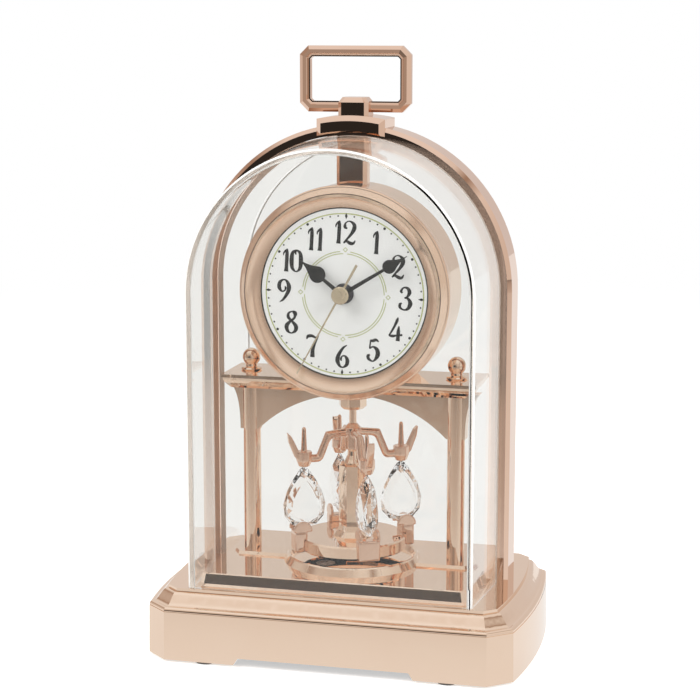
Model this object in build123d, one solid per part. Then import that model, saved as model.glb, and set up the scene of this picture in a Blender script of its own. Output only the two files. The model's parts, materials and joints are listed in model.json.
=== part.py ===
from build123d import *
from math import cos, pi, radians, sin, sqrt
import os

os.makedirs("parts", exist_ok=True)

# A desk clock with a revolving pendulum under a clear arched cover.
# Millimetres. The origin is on the table under the pendulum's axis, the front faces -Y, +Z is up.

# Base
foot_proud = 0.8
foot_diameter = 8.0
foot_block_wall = 1.0
foot_from_side = 16.0
foot_from_front = 4.0
base_front_half = 65.3
base_half_depth = 49.7
corner_cut_x = 9.0
corner_cut_y = 8.0
side_bow = 3.4
wall_height = 19.6
wall_draft = 0.3
base_wall = 2.5
groove_height = 0.35
groove_depth = 0.3
bead_radius = 1.5
bead_ledge = 0.3
moulding_height = 8.0
moulding_inset = 7.5
plateau_fillet = 1.3
plateau_step = 0.5
notch_half = 36.5
notch_height = 2.8
notch_slope = 1.8
plate_thickness = 2.0
plate_clearance = 0.4
boss_diameter = 7.0
boss_from_side = 25.0
boss_from_front = 11.0
screw_bite = 8.0
screw_slot = 0.8

# Base battery bay, door and pendulum drive
battery_diameter = 14.5
battery_length = 50.5
battery_button = 5.5
button_height = 1.0
bay_wall = 1.4
bay_gap = 0.5
bay_from_back = 25.0
bay_share = 0.75
door_thickness = 1.2
door_gap = 0.2
door_margin = 2.0
rail_lip = 1.2
grip_rib_width = 1.6
grip_rib_height = 0.8
grip_from_end = 3.0
contact_thickness = 0.5
contact_share = 0.6
board_length = 44.0
board_width = 22.0
board_thickness = 1.6
board_from_front = 27.0
board_post = 4.0
board_post_radius = 2.5
chip_length = 9.0
chip_width = 7.0
chip_height = 1.8
chip_from_middle = 8.0
capacitor_radius = 3.0
capacitor_height = 7.0
capacitor_from_middle = 12.0
coil_outer = 24.0
coil_inner = 9.0
coil_height = 7.0
screw_head = 5.0
screw_head_height = 1.2
screw_shank = 2.4
screw_hole = 2.6

# Deck and pendulum tray
deck_rise = 5.2
deck_half_width = 55.7
deck_setback = 5.8
deck_slope = 0.9
deck_lean = 0.7
deck_bevel = 0.4
deck_corner = 2.0
tray_outer = 28.3
tray_height = 3.3
tray_rim = 26.0
tray_lip = 0.5
tray_floor_radius = 24.4
tray_floor = 0.8
tray_arm_reach = 51.0
tray_arm_width = 9.6
tray_arm_height = 1.2
tray_arm_bevel = 0.8
tray_arm_point = 0.6

# Columns, spandrels, entablature and finials
column_x = 43.0
column_diameter = 7.2
sleeve_diameter = 8.2
sleeve_bottom = 86.8
sleeve_grip = 12.0
spandrel_thickness = 6.0
spandrel_arch_radius = 56.0
spandrel_arch_top = 103.1
bracket_reach = 51.2
bracket_bend = 0.8
entablature_half = 51.8
entablature_half_depth = 14.0
entablature_bottom = 105.4
entablature_height = 5.8
entablature_fillet = 1.3
entablature_lip = 0.5
entablature_cove = 3.4
finial_ball = 7.4
finial_base = 8.8
finial_base_height = 1.6
finial_base_round = 0.5
finial_neck = 2.0
finial_height = 9.0
fit_gap = 0.05

# Arch frame, keystone, post, handle and strap
head_z = 146.2
arch_rise = 1.0
frame_outer = 65.3
frame_inner = 61.0
frame_front = -4.5
frame_depth = 17.0
frame_bevel = 1.6
keystone_half = 14.0
keystone_rise = 3.35
keystone_drop = 3.3
keystone_proud = 2.0
keystone_bevel = 0.6
keystone_top_bevel = 2.1
keystone_end_bevel = 2.1
post_width = 12.4
post_depth = 11.0
post_height = 6.95
post_bevel = 1.5
post_cap = 2.0
post_cap_inset = 1.4
handle_width = 45.6
handle_height = 26.2
handle_bar = 4.3
handle_corner = 3.5
handle_depth = 5.2
handle_bevel = 1.5
handle_bevel_depth = 1.3
handle_band = 1.4
handle_dip = 0.35
handle_step = 0.25
handle_step_depth = 0.4
handle_lip = 0.5
handle_sink = 5.95
strap_width = 12.6
strap_front = -3.0
strap_depth = 7.0
strap_bevel = 1.5

# Clear covers
cover_setback = 1.2
cover_gap = 0.2
cover_plug = 1.2
cover_slope = 0.078
cover_wall = 2.2

# Clock head
drum_radius = 42.6
drum_wall = 2.2
drum_back = 10.0
drum_neck_length = 2.9
bezel_radius = 43.0
bezel_seat = 2.0
bezel_front = -18.6
bezel_crest_radius = 40.1
bezel_crest_flat = 0.4
bezel_hollow = 0.5
bezel_fall = 2.6
bezel_edge = 0.8
bezel_lip_radius = 34.3
bezel_lip = 0.25
dial_front = -14.8
dial_thickness = 0.8
dial_bore = 4.1
ledge_inner = 30.0
ledge_thickness = 1.5
ledge_taper = 1.2
rear_cover_thickness = 2.0
rear_screw_circle = 36.4
rear_post_diameter = 6.0

# Quartz movement
case_corner = 2.0
case_clearance = 0.05
case_to_drum = 0.5
case_depth = 16.0
case_wall = 1.2
case_front_wall = 1.0
case_screw_x = 25.0
case_screw_z = 25.4
case_post_diameter = 4.4
boss_outer = 3.9
boss_reach = 3.1
wheel_thickness = 0.6
wheel_pitch = 1.4
second_arbor = 0.5
cannon_outer = 1.15
hour_tube_outer = 2.2
pivot_radius = 0.4
pivot_gap = 0.05
running_gap = 0.1
tooth_addendum = 0.7
tooth_dedendum = 1.15
cannon_teeth = 12
minute_wheel_teeth = 36
motion_module = 0.25
minute_pinion_teeth = 10
hour_wheel_teeth = 40
pinion_teeth = 8
third_wheel_teeth = 64
centre_wheel_teeth = 60
train_module = 0.2
seconds_wheel_teeth = 40
seconds_module = 0.25
intermediate_teeth = 48
knob_angle = 60.0
knob_shaft = 1.0
knob_diameter = 13.0
knob_length = 5.0
knob_gap = 0.6
knob_rib_radius = 0.7
knob_ribs = 12
movement_battery_z = -15.8
rotor_collar_radius = 0.7
intermediate_collar_radius = 0.68
minute_collar_radius = 0.85
pivot_seat = 0.4
pivot_reach = 0.5
cannon_end_gap = 0.3
magnet_radius = 2.9
magnet_length = 2.0
stator_thickness = 1.0
stator_width = 9.0
stator_bar = 2.0
stator_margin = 4.0
stator_post_radius = 1.5
motor_coil_radius = 3.4
motor_coil_length = 12.0
motor_coil_gap = 0.4
movement_board_length = 42.0
movement_board_width = 8.0
movement_board_thickness = 1.0
movement_board_stand = 3.0
movement_board_drop = 6.0
movement_board_post_radius = 1.5
movement_board_post_x = 20.0
movement_chip_length = 6.0
movement_chip_width = 5.0
movement_chip_x = -6.0
quartz_radius = 1.0
quartz_length = 8.0
quartz_x = 9.0

# Hands, as the dial shows about ten past ten
hand_thickness = 0.45
hand_shaft = 1.1
hand_tip = 0.3
hour_hub_radius = 3.2
minute_hub_radius = 2.6
hour_hand_length = 21.2
hour_hand_bulb = 12.5
hour_bulb_radius = 3.3
minute_hand_length = 31.2
minute_hand_bulb = 22.9
minute_bulb_radius = 2.7
second_hand_length = 36.5
second_hand_tail = 14.0
second_tail_half = 0.5
second_root_half = 0.4
second_tip_half = 0.2
hand_cap_side = 0.5
hand_cap_bevel = 0.4
hand_cap_height = 1.1
hand_cap_radius = 3.5
hour_hand_angle = 308.0
minute_hand_angle = 58.7
second_hand_angle = 209.0
hour_hand_gap = 3.2
hand_spacing = 1.25

# Revolving pendulum
pendulum_turn = 30.0
bush_width = 10.6
bush_bottom = 97.0
bush_room = 6.4
bush_seat = 1.5
bush_sides = 8
bush_bevel = 1.3
bush_cavity = 6.4
bush_lip = 1.6
rod_diameter = 3.0
rod_head_diameter = 5.4
rod_head_height = 1.2
rod_gap = 0.1
hub_width = 6.4
hub_sides = 8
hub_cap_gap = 0.4
hub_top = 91.0
hub_shoulder = 89.0
hub_bottom = 80.2
arm_count = 4
arm_width = 3.2
arm_shoulder = 11.4
arm_fall = 1.1
arm_elbow = 15.2
arm_level = 78.7
arm_bend = 3.0
arm_knee_back = 2.16
arm_knee_drop = 2.7
arm_heel_back = 1.98
arm_bevel = 0.95
cup_radius = 20.6
cup_width = 6.2
cup_sides = 8
cup_top = 80.3
cup_waist = 76.6
cup_bottom = 74.1
cup_foot_width = 4.4
cup_pin_diameter = 2.2
cup_pin_top = 90.3
leaf_reach = 7.0
leaf_top = 88.4
leaf_width = 2.8
crystal_bottom = 48.4
crystal_half_width = 8.9
crystal_thickness = 7.2
crystal_girdle = 1.0
crystal_table = 0.55
crystal_peg_radius = 0.8
crystal_peg = 2.0
crystal_peg_sink = 0.6
pillar_width = 11.0
pillar_sides = 8
pillar_twist = 4.0
pillar_top = 74.2
pillar_bevel = 0.6
pillar_foot = 50.4
pillar_spread = 15.6
disc_radius = 22.0
disc_top = 44.2
disc_bottom = 38.9
disc_edge = 0.6
block_inner = 20.2
block_outer = 25.2
block_half = 4.5
block_top = 47.4
block_bevel = 0.5
ear_setback = 0.6
ear_lift = 0.5
ear_side_gap = 0.2
ear_radius = 3.9
ear_inner = 3.1
magnet_circle = 13.0
drive_magnet_diameter = 8.0
drive_magnet_height = 2.0

# Levels worked out from the sizes above
foot_x = base_front_half - foot_from_side
foot_y = base_half_depth - foot_from_front
boss_x = base_front_half - boss_from_side
boss_y = base_half_depth - boss_from_front
bay_y = base_half_depth - bay_from_back
board_y = board_from_front - base_half_depth
deck_half_depth = base_half_depth - moulding_inset - deck_setback
cover_back = base_half_depth - moulding_inset - cover_setback
cover_front = -cover_back
cover_rim_half = frame_inner - cover_gap
bush_top = head_z - bezel_radius + bush_seat
bush_floor = bush_bottom + bush_lip
bay_half_length = battery_length / 2 + button_height + contact_thickness
bay_half_width = battery_diameter / 2 + bay_gap
case_size = 2 * (bay_half_length + case_clearance + case_wall)
wall_bottom = foot_proud
wall_top = wall_bottom + wall_height
plateau = wall_top + moulding_height
ceiling = plateau - base_wall
plate_bottom = wall_bottom + notch_height + plate_clearance
plate_top = plate_bottom + plate_thickness
deck_top = plateau + deck_rise
column_foot = deck_top + tray_arm_height
entablature_top = entablature_bottom + entablature_height
frame_back = frame_front + frame_depth
frame_middle = (frame_front + frame_back) / 2
arch_z = head_z + arch_rise
keystone_top = arch_z + frame_outer + keystone_rise
post_top = keystone_top + post_height
handle_bottom = post_top - handle_sink
handle_middle = handle_bottom + handle_height / 2
dial_back = dial_front + dial_thickness
ledge_back = dial_back + ledge_thickness
drum_shoulder = dial_back + drum_neck_length
drum_inner = drum_radius - drum_wall
case_front = ledge_back
case_back = case_front + case_depth
case_lid_front = case_back - case_front_wall
train_front = case_front + case_front_wall + 0.3


def slab(sketch, y_front, y_back):
    """A sketch drawn with x across and y up, made solid between two depths."""
    return extrude(Plane.XZ.offset(-y_back) * sketch, amount=y_back - y_front)


def outline(points):
    """A flat face inside a closed run of straight lines."""
    return make_face(Polyline(*points, close=True))


def turned(points):
    """A solid turned about the upright axis from (radius, height) points."""
    return revolve(Plane.XZ * outline(points), Axis.Z)


def turned_head(points):
    """A solid turned about the clock head's axis from (radius, depth) points."""
    return Pos(0, 0, head_z) * revolve(outline(points), Axis.Y)


def head_disc(radius, y_front, y_back, x=0.0, z=0.0):
    """A round bar along the head's axis, at a place on the dial side."""
    return slab(Pos(x, head_z + z) * Circle(radius), y_front, y_back)


def head_ring(outer, inner, y_front, y_back, x=0.0, z=0.0):
    """A tube along the head's axis."""
    return slab(Pos(x, head_z + z) * (Circle(outer) - Circle(inner)), y_front, y_back)


def prism(width, sides, z, twist=0.0):
    """A flat regular polygon, given by its width across flats, at a height."""
    return Pos(0, 0, z) * Rot(0, 0, twist) * RegularPolygon(width / 2, sides, major_radius=False)


def rod(radius, z_bottom, z_top, x=0.0, y=0.0):
    """An upright round bar."""
    return Pos(x, y, (z_bottom + z_top) / 2) * Cylinder(radius, z_top - z_bottom)


def mirrored_pairs(x, y):
    """The four places that mirror (x, y) across both middle planes."""
    return [(sx * x, sy * y) for sx in (-1, 1) for sy in (-1, 1)]


def together(solids):
    """Separate solids kept side by side in one node."""
    return Compound(children=[s for piece in solids for s in piece.solids()])


# Base plan: straight front and back, cut corners and bowed sides, at any inset from the wall face.
corner_x = base_front_half + corner_cut_x
corner_y = base_half_depth - corner_cut_y
bow_radius = (corner_y ** 2 + side_bow ** 2) / (2 * side_bow)
bow_centre = corner_x + side_bow - bow_radius


def base_corners(inset):
    """The front corner, the side corner and the bow's middle of the plan at an inset."""
    cut = sqrt(corner_cut_x ** 2 + corner_cut_y ** 2)
    ux, uy = corner_cut_x / cut, corner_cut_y / cut
    px = base_front_half - inset * uy
    py = -base_half_depth + inset * ux
    front_y = -base_half_depth + inset
    front_x = px + (front_y - py) / uy * ux
    radius = bow_radius - inset
    qx = px - bow_centre
    b = qx * ux + py * uy
    c = qx ** 2 + py ** 2 - radius ** 2
    t = -b + sqrt(b ** 2 - c)
    return (front_x, front_y), (px + t * ux, py + t * uy), bow_centre + radius


def base_plan(inset, z):
    """The base's plan as a flat face at an inset and a height."""
    (fx, fy), (sx, sy), mx = base_corners(inset)
    edges = [
        Line((-fx, fy), (fx, fy)),
        Line((fx, fy), (sx, sy)),
        ThreePointArc((sx, sy), (mx, 0), (sx, -sy)),
        Line((sx, -sy), (fx, -fy)),
        Line((fx, -fy), (-fx, -fy)),
        Line((-fx, -fy), (-sx, -sy)),
        ThreePointArc((-sx, -sy), (-mx, 0), (-sx, sy)),
        Line((-sx, sy), (-fx, fy)),
    ]
    return Pos(0, 0, z) * make_face(edges)


def base_shell():
    """Drafted wall, groove, round bead, ogee moulding and plateau, hollow inside, with screw bosses."""
    groove_top = wall_top + groove_height
    ogee_bottom = groove_top + bead_radius
    ogee_top = plateau - plateau_fillet
    ogee_start = bead_radius + bead_ledge
    ogee_end = moulding_inset - plateau_step
    steps = 6
    bead = []
    ogee = []
    for step in range(steps + 1):
        s = step / steps
        turn = pi / 2 * s
        bead.append(base_plan(bead_radius * (1 - cos(turn)), groove_top + bead_radius * sin(turn)))
        rise = (ogee_top - ogee_bottom) * (1 - cos(pi * s)) / 2
        ogee.append(base_plan(ogee_start + (ogee_end - ogee_start) * s, ogee_bottom + rise))
    shell = loft([base_plan(-wall_draft, wall_bottom), base_plan(0, wall_top)], ruled=True)
    shell += extrude(base_plan(groove_depth, wall_top), amount=groove_height)
    shell += loft(bead)
    shell += loft(ogee)
    shell += extrude(base_plan(moulding_inset, ogee_top), amount=plateau_fillet)
    cavity = loft(
        [base_plan(base_wall - wall_draft, wall_bottom), base_plan(base_wall, wall_top)], ruled=True
    )
    cavity += extrude(base_plan(moulding_inset + base_wall, wall_top), amount=ceiling - wall_top)
    shell -= cavity
    notch = outline([
        (-notch_half, wall_bottom - 1),
        (-notch_half, wall_bottom),
        (-notch_half + notch_slope, wall_bottom + notch_height),
        (notch_half - notch_slope, wall_bottom + notch_height),
        (notch_half, wall_bottom),
        (notch_half, wall_bottom - 1),
    ])
    shell -= slab(notch, -base_half_depth - base_wall, base_half_depth + base_wall)
    for x, y in mirrored_pairs(boss_x, boss_y):
        shell += rod(boss_diameter / 2, plate_top, ceiling, x, y)
        shell -= rod(screw_hole / 2, plate_top, plate_top + screw_bite + 1, x, y)
    half = base_wall / 2
    inside = loft([base_plan(half - wall_draft, wall_bottom), base_plan(half, wall_top)], ruled=True)
    for x, y in mirrored_pairs(foot_x, foot_y):
        shell += rod(foot_diameter / 2 + foot_block_wall, wall_bottom, plate_top, x, y) & inside
    return shell


door_length = battery_length + 2 * (button_height + contact_thickness + bay_wall + door_margin)
door_width = battery_diameter + 2 * (bay_gap + bay_wall)
battery_z = plate_top + battery_diameter / 2 + bay_gap


def bottom_plate():
    """The base's closing plate with a battery bay, door rails and board posts."""
    plate = extrude(base_plan(base_wall + plate_clearance, plate_bottom), amount=plate_thickness)
    for x, y in mirrored_pairs(foot_x, foot_y):
        plate -= rod(foot_diameter / 2 + foot_block_wall + plate_clearance, plate_bottom, plate_top, x, y)
    for x, y in mirrored_pairs(boss_x, boss_y):
        plate -= rod(screw_hole / 2, plate_bottom, plate_top, x, y)
    bay_height = battery_diameter * bay_share
    bay = Box(2 * (bay_half_length + bay_wall), 2 * (bay_half_width + bay_wall), bay_height)
    plate += Pos(0, bay_y, plate_top + bay_height / 2) * bay
    plate -= Pos(0, bay_y, plate_bottom) * Box(
        2 * bay_half_length, 2 * bay_half_width, 2 * (bay_height + plate_thickness)
    )
    rail_height = door_gap * 2 + door_thickness
    for side in (-1, 1):
        web_y = bay_y + side * (door_width / 2 + door_gap + rail_lip / 2)
        web = Box(door_length, rail_lip, rail_height + rail_lip)
        plate += Pos(0, web_y, plate_bottom - (rail_height + rail_lip) / 2) * web
        lip = Box(door_length, 2 * rail_lip, rail_lip)
        plate += Pos(0, web_y - side * rail_lip / 2, plate_bottom - rail_height - rail_lip / 2) * lip
    for x in (-board_length / 3, board_length / 3):
        plate += rod(board_post_radius, plate_top, plate_top + board_post, x, board_y)
    return plate


def battery_door():
    """A sliding door under the battery bay with a finger rib."""
    door = Box(door_length, door_width, door_thickness)
    rib = Pos(door_length / 2 - grip_from_end, 0, -(door_thickness + grip_rib_height) / 2) * Box(
        grip_rib_width, door_width / 2, grip_rib_height
    )
    door_z = plate_bottom - door_gap - door_thickness / 2
    return Pos(0, bay_y, door_z) * (door + rib)


def cell(x, y, z):
    """A round cell lying along X with its button at +X."""
    body = Rot(0, 90, 0) * Cylinder(battery_diameter / 2, battery_length)
    button = Pos(battery_length / 2 + button_height / 2, 0, 0) * Rot(0, 90, 0) * Cylinder(
        battery_button / 2, button_height
    )
    return Pos(x, y, z) * (body + button)


def cell_contacts(y, z, height):
    """Two contact plates at a cell's ends, the negative one with a pressed dome."""
    plates = []
    for side in (-1, 1):
        plate = Pos(side * (bay_half_length - contact_thickness / 2), y, z) * Box(
            contact_thickness, height, height
        )
        if side < 0:
            dome = Cylinder(height / 3, button_height)
            plate += Pos(-battery_length / 2 - button_height / 2, y, z) * Rot(0, 90, 0) * dome
        plates.append(plate)
    return together(plates)


def base_screws():
    """Four screws up through the bottom plate into the bosses."""
    screws = []
    for x, y in mirrored_pairs(boss_x, boss_y):
        screw = rod(screw_shank / 2, plate_bottom, plate_top + screw_bite, x, y)
        screw += rod(screw_head / 2, plate_bottom - screw_head_height, plate_bottom, x, y)
        slot_z = plate_bottom - screw_head_height
        screw -= Pos(x, y, slot_z) * Box(screw_head, screw_slot, screw_head_height)
        screws.append(screw)
    return together(screws)


def rubber_feet():
    """Four round pads under the corners."""
    return together([rod(foot_diameter / 2, 0, wall_bottom, x, y) for x, y in mirrored_pairs(foot_x, foot_y)])


def drive_board():
    """The pendulum drive's circuit board with its chip and capacitor."""
    z = plate_top + board_post
    board = Pos(0, board_y, z + board_thickness / 2) * Box(board_length, board_width, board_thickness)
    top = z + board_thickness
    chip = Box(chip_length, chip_width, chip_height)
    board += Pos(-chip_from_middle, board_y, top + chip_height / 2) * chip
    return board + rod(capacitor_radius, top, top + capacitor_height, capacitor_from_middle, board_y)


def drive_coil():
    """The flat coil bonded under the plateau, below the pendulum's magnets."""
    return rod(coil_outer / 2, ceiling - coil_height, ceiling) - rod(
        coil_inner / 2, ceiling - coil_height, ceiling
    )


def mirror_deck():
    """The raised mirror floor inside the covers, with a sloped foot, leaning sides and cut corners."""
    sections = []
    levels = (
        (plateau, 0.0),
        (plateau + deck_slope, deck_slope),
        (deck_top - deck_bevel, deck_slope + deck_lean),
        (deck_top, deck_slope + deck_lean + deck_bevel),
    )
    for z, inset in levels:
        w = deck_half_width - inset
        d = deck_half_depth - inset
        c = deck_corner
        plan = outline([
            (-w, -d + c), (-w + c, -d), (w - c, -d), (w, -d + c),
            (w, d - c), (w - c, d), (-w + c, d), (-w, d - c),
        ])
        sections.append(Pos(0, 0, z) * plan)
    return loft(sections, ruled=True)


def pendulum_tray():
    """A shallow dish with a sloped rim, and two pointed arms that carry the columns."""
    brim = deck_top + tray_height
    dish = turned([
        (0, deck_top),
        (tray_outer, deck_top),
        (tray_rim + 2 * tray_lip, brim - tray_lip),
        (tray_rim + tray_lip, brim),
        (tray_rim, brim),
        (tray_rim - tray_lip, brim - tray_lip),
        (tray_floor_radius, deck_top + tray_floor),
        (0, deck_top + tray_floor),
    ])
    hollow = rod(tray_rim, deck_top, brim)

    def arm_plan(side, inset, z):
        half = tray_arm_width / 2 - inset
        tip = tray_arm_reach - inset
        neck = tip - half * tray_arm_point
        return Pos(0, 0, z) * outline([
            (side * tray_floor_radius, -half),
            (side * neck, -half),
            (side * tip, 0),
            (side * neck, half),
            (side * tray_floor_radius, half),
        ])

    for side in (-1, 1):
        arm = loft([arm_plan(side, 0, deck_top), arm_plan(side, tray_arm_bevel, column_foot)], ruled=True)
        dish += arm - hollow
    return dish


def column(side):
    """A round column from the tray's arm up into the spandrel's sleeve."""
    return rod(column_diameter / 2, column_foot, sleeve_bottom + sleeve_grip, side * column_x, 0)


def spandrel(side):
    """A sleeve on the column, the arched panel inside it and the curved bracket outside it."""
    sleeve = rod(sleeve_diameter / 2, sleeve_bottom, entablature_bottom, side * column_x, 0)
    drop = entablature_bottom - sleeve_bottom
    panel = Pos(side * column_x / 2, sleeve_bottom + drop / 2) * Rectangle(column_x, drop)
    panel -= Pos(0, spandrel_arch_top - spandrel_arch_radius) * Circle(spandrel_arch_radius)
    edge = column_x + sleeve_diameter / 2
    bend = sleeve_bottom + drop * bracket_bend
    bracket = make_face([
        Line((side * column_x, sleeve_bottom), (side * edge, sleeve_bottom)),
        Bezier((side * edge, sleeve_bottom), (side * edge, bend), (side * bracket_reach, entablature_bottom)),
        Line((side * bracket_reach, entablature_bottom), (side * column_x, entablature_bottom)),
        Line((side * column_x, entablature_bottom), (side * column_x, sleeve_bottom)),
    ])
    half = spandrel_thickness / 2
    piece = sleeve + slab(panel, -half, half) + slab(bracket, -half, half)
    bore = rod(column_diameter / 2 + fit_gap, sleeve_bottom, sleeve_bottom + sleeve_grip, side * column_x, 0)
    piece -= bore + rod(bush_room, sleeve_bottom, entablature_bottom)
    return piece - head_disc(bezel_radius + fit_gap, -spandrel_thickness, spandrel_thickness)


def entablature():
    """The moulded slab over the columns, hollowed to seat the drum."""
    def plan(inset, z):
        return Pos(0, 0, z) * Rectangle(2 * (entablature_half - inset), 2 * (entablature_half_depth - inset))

    fillet_z = entablature_top - entablature_fillet
    steps = 4
    cove = []
    for step in range(steps + 1):
        s = step / steps
        z = entablature_bottom + (fillet_z - entablature_bottom) * s
        cove.append(plan(entablature_lip + (entablature_cove - entablature_lip) * (1 - sin(pi / 2 * s)), z))
    piece = loft(cove, ruled=True) + extrude(plan(0, fillet_z), amount=entablature_fillet)
    return piece - head_disc(bezel_radius + fit_gap, -entablature_half_depth - 1, drum_back + 0.2)


def finial(side):
    """A ball finial on a rounded base ring."""
    z = entablature_top
    r = finial_base / 2
    ball_z = z + finial_height - finial_ball / 2
    ring_top = z + finial_base_height
    base = turned([
        (0, z),
        (r - finial_base_round, z),
        (r, z + finial_base_round),
        (r, ring_top - 2 * finial_base_round),
        (r - finial_base_round, ring_top - finial_base_round),
        (finial_neck + finial_base_round, ring_top),
        (finial_neck, ball_z),
        (0, ball_z),
    ])
    return Pos(side * column_x, 0, 0) * (base + Pos(0, 0, ball_z) * Sphere(finial_ball / 2))


def arch_plan(half):
    """An upright arch: straight legs from the plateau and a half round over the clock head."""
    return make_face([
        Line((-half, plateau), (half, plateau)),
        Line((half, plateau), (half, arch_z)),
        ThreePointArc((half, arch_z), (0, arch_z + half), (-half, arch_z)),
        Line((-half, arch_z), (-half, plateau)),
    ])


def arch_section(half, y):
    """An arch face standing at a depth."""
    return Plane.XZ.offset(-y) * arch_plan(half)


def arch_frame():
    """The arch band with bevelled outer edges."""
    inner_y = frame_front + frame_bevel
    outer_y = frame_back - frame_bevel
    narrow = frame_outer - frame_bevel
    band = loft([arch_section(narrow, frame_front), arch_section(frame_outer, inner_y)], ruled=True)
    band += slab(arch_plan(frame_outer), inner_y, outer_y)
    band += loft([arch_section(frame_outer, outer_y), arch_section(narrow, frame_back)], ruled=True)
    return band - slab(arch_plan(frame_inner), frame_front, frame_back)


def cut_rectangle(half_x, y_front, y_back, cut):
    """A rectangle with cut corners, symmetric about the middle plane."""
    return outline([
        (-half_x, y_front + cut), (-half_x + cut, y_front), (half_x - cut, y_front), (half_x, y_front + cut),
        (half_x, y_back - cut), (half_x - cut, y_back), (-half_x + cut, y_back), (-half_x, y_back - cut),
    ])


def keystone(frame):
    """A bevelled saddle over the crown of the arch frame."""
    top = frame_outer + keystone_rise
    low = frame_outer - keystone_drop
    shoulder = top - keystone_top_bevel
    front = frame_front - keystone_proud
    back = frame_back + keystone_proud
    ring = revolve(
        outline([
            (low, front + keystone_bevel), (low + keystone_bevel, front), (shoulder, front),
            (top, front + keystone_top_bevel), (top, back - keystone_top_bevel), (shoulder, back),
            (low + keystone_bevel, back), (low, back - keystone_bevel),
        ]),
        Axis.Y,
    )
    window = extrude(cut_rectangle(keystone_half, front, back, keystone_end_bevel), amount=top, dir=(0, 0, 1))
    return Pos(0, 0, arch_z) * (ring & window) - frame


def handle_plan(inset):
    """The handle's outline with cut corners, at an inset."""
    w = handle_width / 2 - inset
    h = handle_height / 2 - inset
    c = handle_corner - inset * (2 - sqrt(2))
    return Pos(0, handle_middle) * outline([
        (-w, -h + c), (-w + c, -h), (w - c, -h), (w, -h + c),
        (w, h - c), (w - c, h), (-w + c, h), (-w, h - c),
    ])


def handle_section(inset, y):
    """The handle's outline standing at a depth."""
    return Plane.XZ.offset(-y) * handle_plan(inset)


def carry_handle():
    """A rectangular handle: on both faces a bevelled rim and two sloped bands with a step between them."""
    half = handle_depth / 2
    shoulder = half - handle_bevel_depth
    inner = handle_bevel + handle_band
    steps = (
        (handle_bevel, half),
        (inner, half - handle_dip),
        (inner + handle_step, half - handle_dip - handle_step_depth),
        (handle_bar - handle_lip, half - 2 * handle_dip - handle_step_depth),
    )
    handle = slab(handle_plan(0), frame_middle - shoulder, frame_middle + shoulder)
    for side in (-1, 1):
        face = frame_middle + side * half
        rim = [handle_section(0, frame_middle + side * shoulder), handle_section(handle_bevel, face)]
        handle += loft(rim, ruled=True)
        for (wide, high), (narrow, low) in zip(steps, steps[1:]):
            funnel = [
                handle_section(wide, frame_middle + side * high),
                handle_section(narrow, frame_middle + side * low),
            ]
            handle -= loft(funnel, ruled=True)
    return handle - slab(handle_plan(handle_bar), frame_middle - half, frame_middle + half)


def handle_post(handle):
    """The bevelled block on the keystone that wraps the handle's lower bar."""
    def plan(inset, z):
        half = post_depth / 2 - inset
        flat = cut_rectangle(post_width / 2 - inset, frame_middle - half, frame_middle + half, post_bevel)
        return Pos(0, 0, z) * flat

    low = keystone_top - keystone_rise
    shoulder = post_top - post_cap
    block = extrude(plan(0, low), amount=shoulder - low, dir=(0, 0, 1))
    block += loft([plan(0, shoulder), plan(post_cap_inset, post_top)], ruled=True)
    saddle = slab(Pos(0, arch_z) * Circle(frame_outer + keystone_rise), frame_front, frame_back)
    return block - saddle - handle


def head_strap():
    """The bevelled bar that hangs the drum from the arch."""
    low = head_z + drum_radius - drum_wall
    high = arch_z + frame_inner
    back = strap_front + strap_depth
    middle = Pos(0, strap_front + strap_depth / 2, (low + high) / 2)
    bar = middle * Box(strap_width, strap_depth, high - low)
    bar = chamfer(bar.edges().filter_by(Axis.Z), strap_bevel)
    bar -= head_disc(drum_radius, strap_front, back)
    return bar & slab(Pos(0, arch_z) * Circle(frame_inner), strap_front, back)


def cover(y_face, y_rim):
    """A clear arched cover, narrowing from its rim in the frame to its flat face, open at the floor."""
    away = -1 if y_face < y_rim else 1
    y_inner = y_face - away * cover_wall
    face_half = cover_rim_half - cover_slope * abs(y_face - y_rim)
    inner_half = face_half + cover_slope * cover_wall - cover_wall
    outer = loft([arch_section(face_half, y_face), arch_section(cover_rim_half, y_rim)], ruled=True)
    inner = loft(
        [arch_section(inner_half, y_inner), arch_section(cover_rim_half - cover_wall, y_rim)], ruled=True
    )
    return outer - inner


def drum_shell():
    """The head's round case: a neck for the bezel, a ledge for dial and movement, and rear posts."""
    drum = turned_head([
        (drum_radius, drum_back),
        (drum_radius, drum_shoulder),
        (bezel_radius - bezel_seat, drum_shoulder),
        (bezel_radius - bezel_seat, dial_back),
        (ledge_inner, dial_back),
        (ledge_inner, ledge_back),
        (drum_inner - ledge_taper, ledge_back),
        (drum_inner, ledge_back + ledge_taper),
        (drum_inner, drum_back),
    ])
    rear_seat = drum_back - rear_cover_thickness
    for x, z in rear_screw_places():
        post = head_disc(rear_post_diameter / 2, ledge_back, rear_seat, x, z)
        drum += post & head_disc(drum_inner + 0.5, ledge_back, rear_seat)
        drum -= head_disc(screw_hole / 2, rear_seat - 8, rear_seat, x, z)
    for x, z in mirrored_pairs(case_screw_x, case_screw_z):
        drum -= head_disc(screw_hole / 2, dial_back, ledge_back, x, z)
    return drum


def rear_screw_places():
    """The screws of the drum's rear cover, on a circle."""
    return [
        (rear_screw_circle * cos(radians(a)), rear_screw_circle * sin(radians(a))) for a in (0, 90, 180)
    ]


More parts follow.
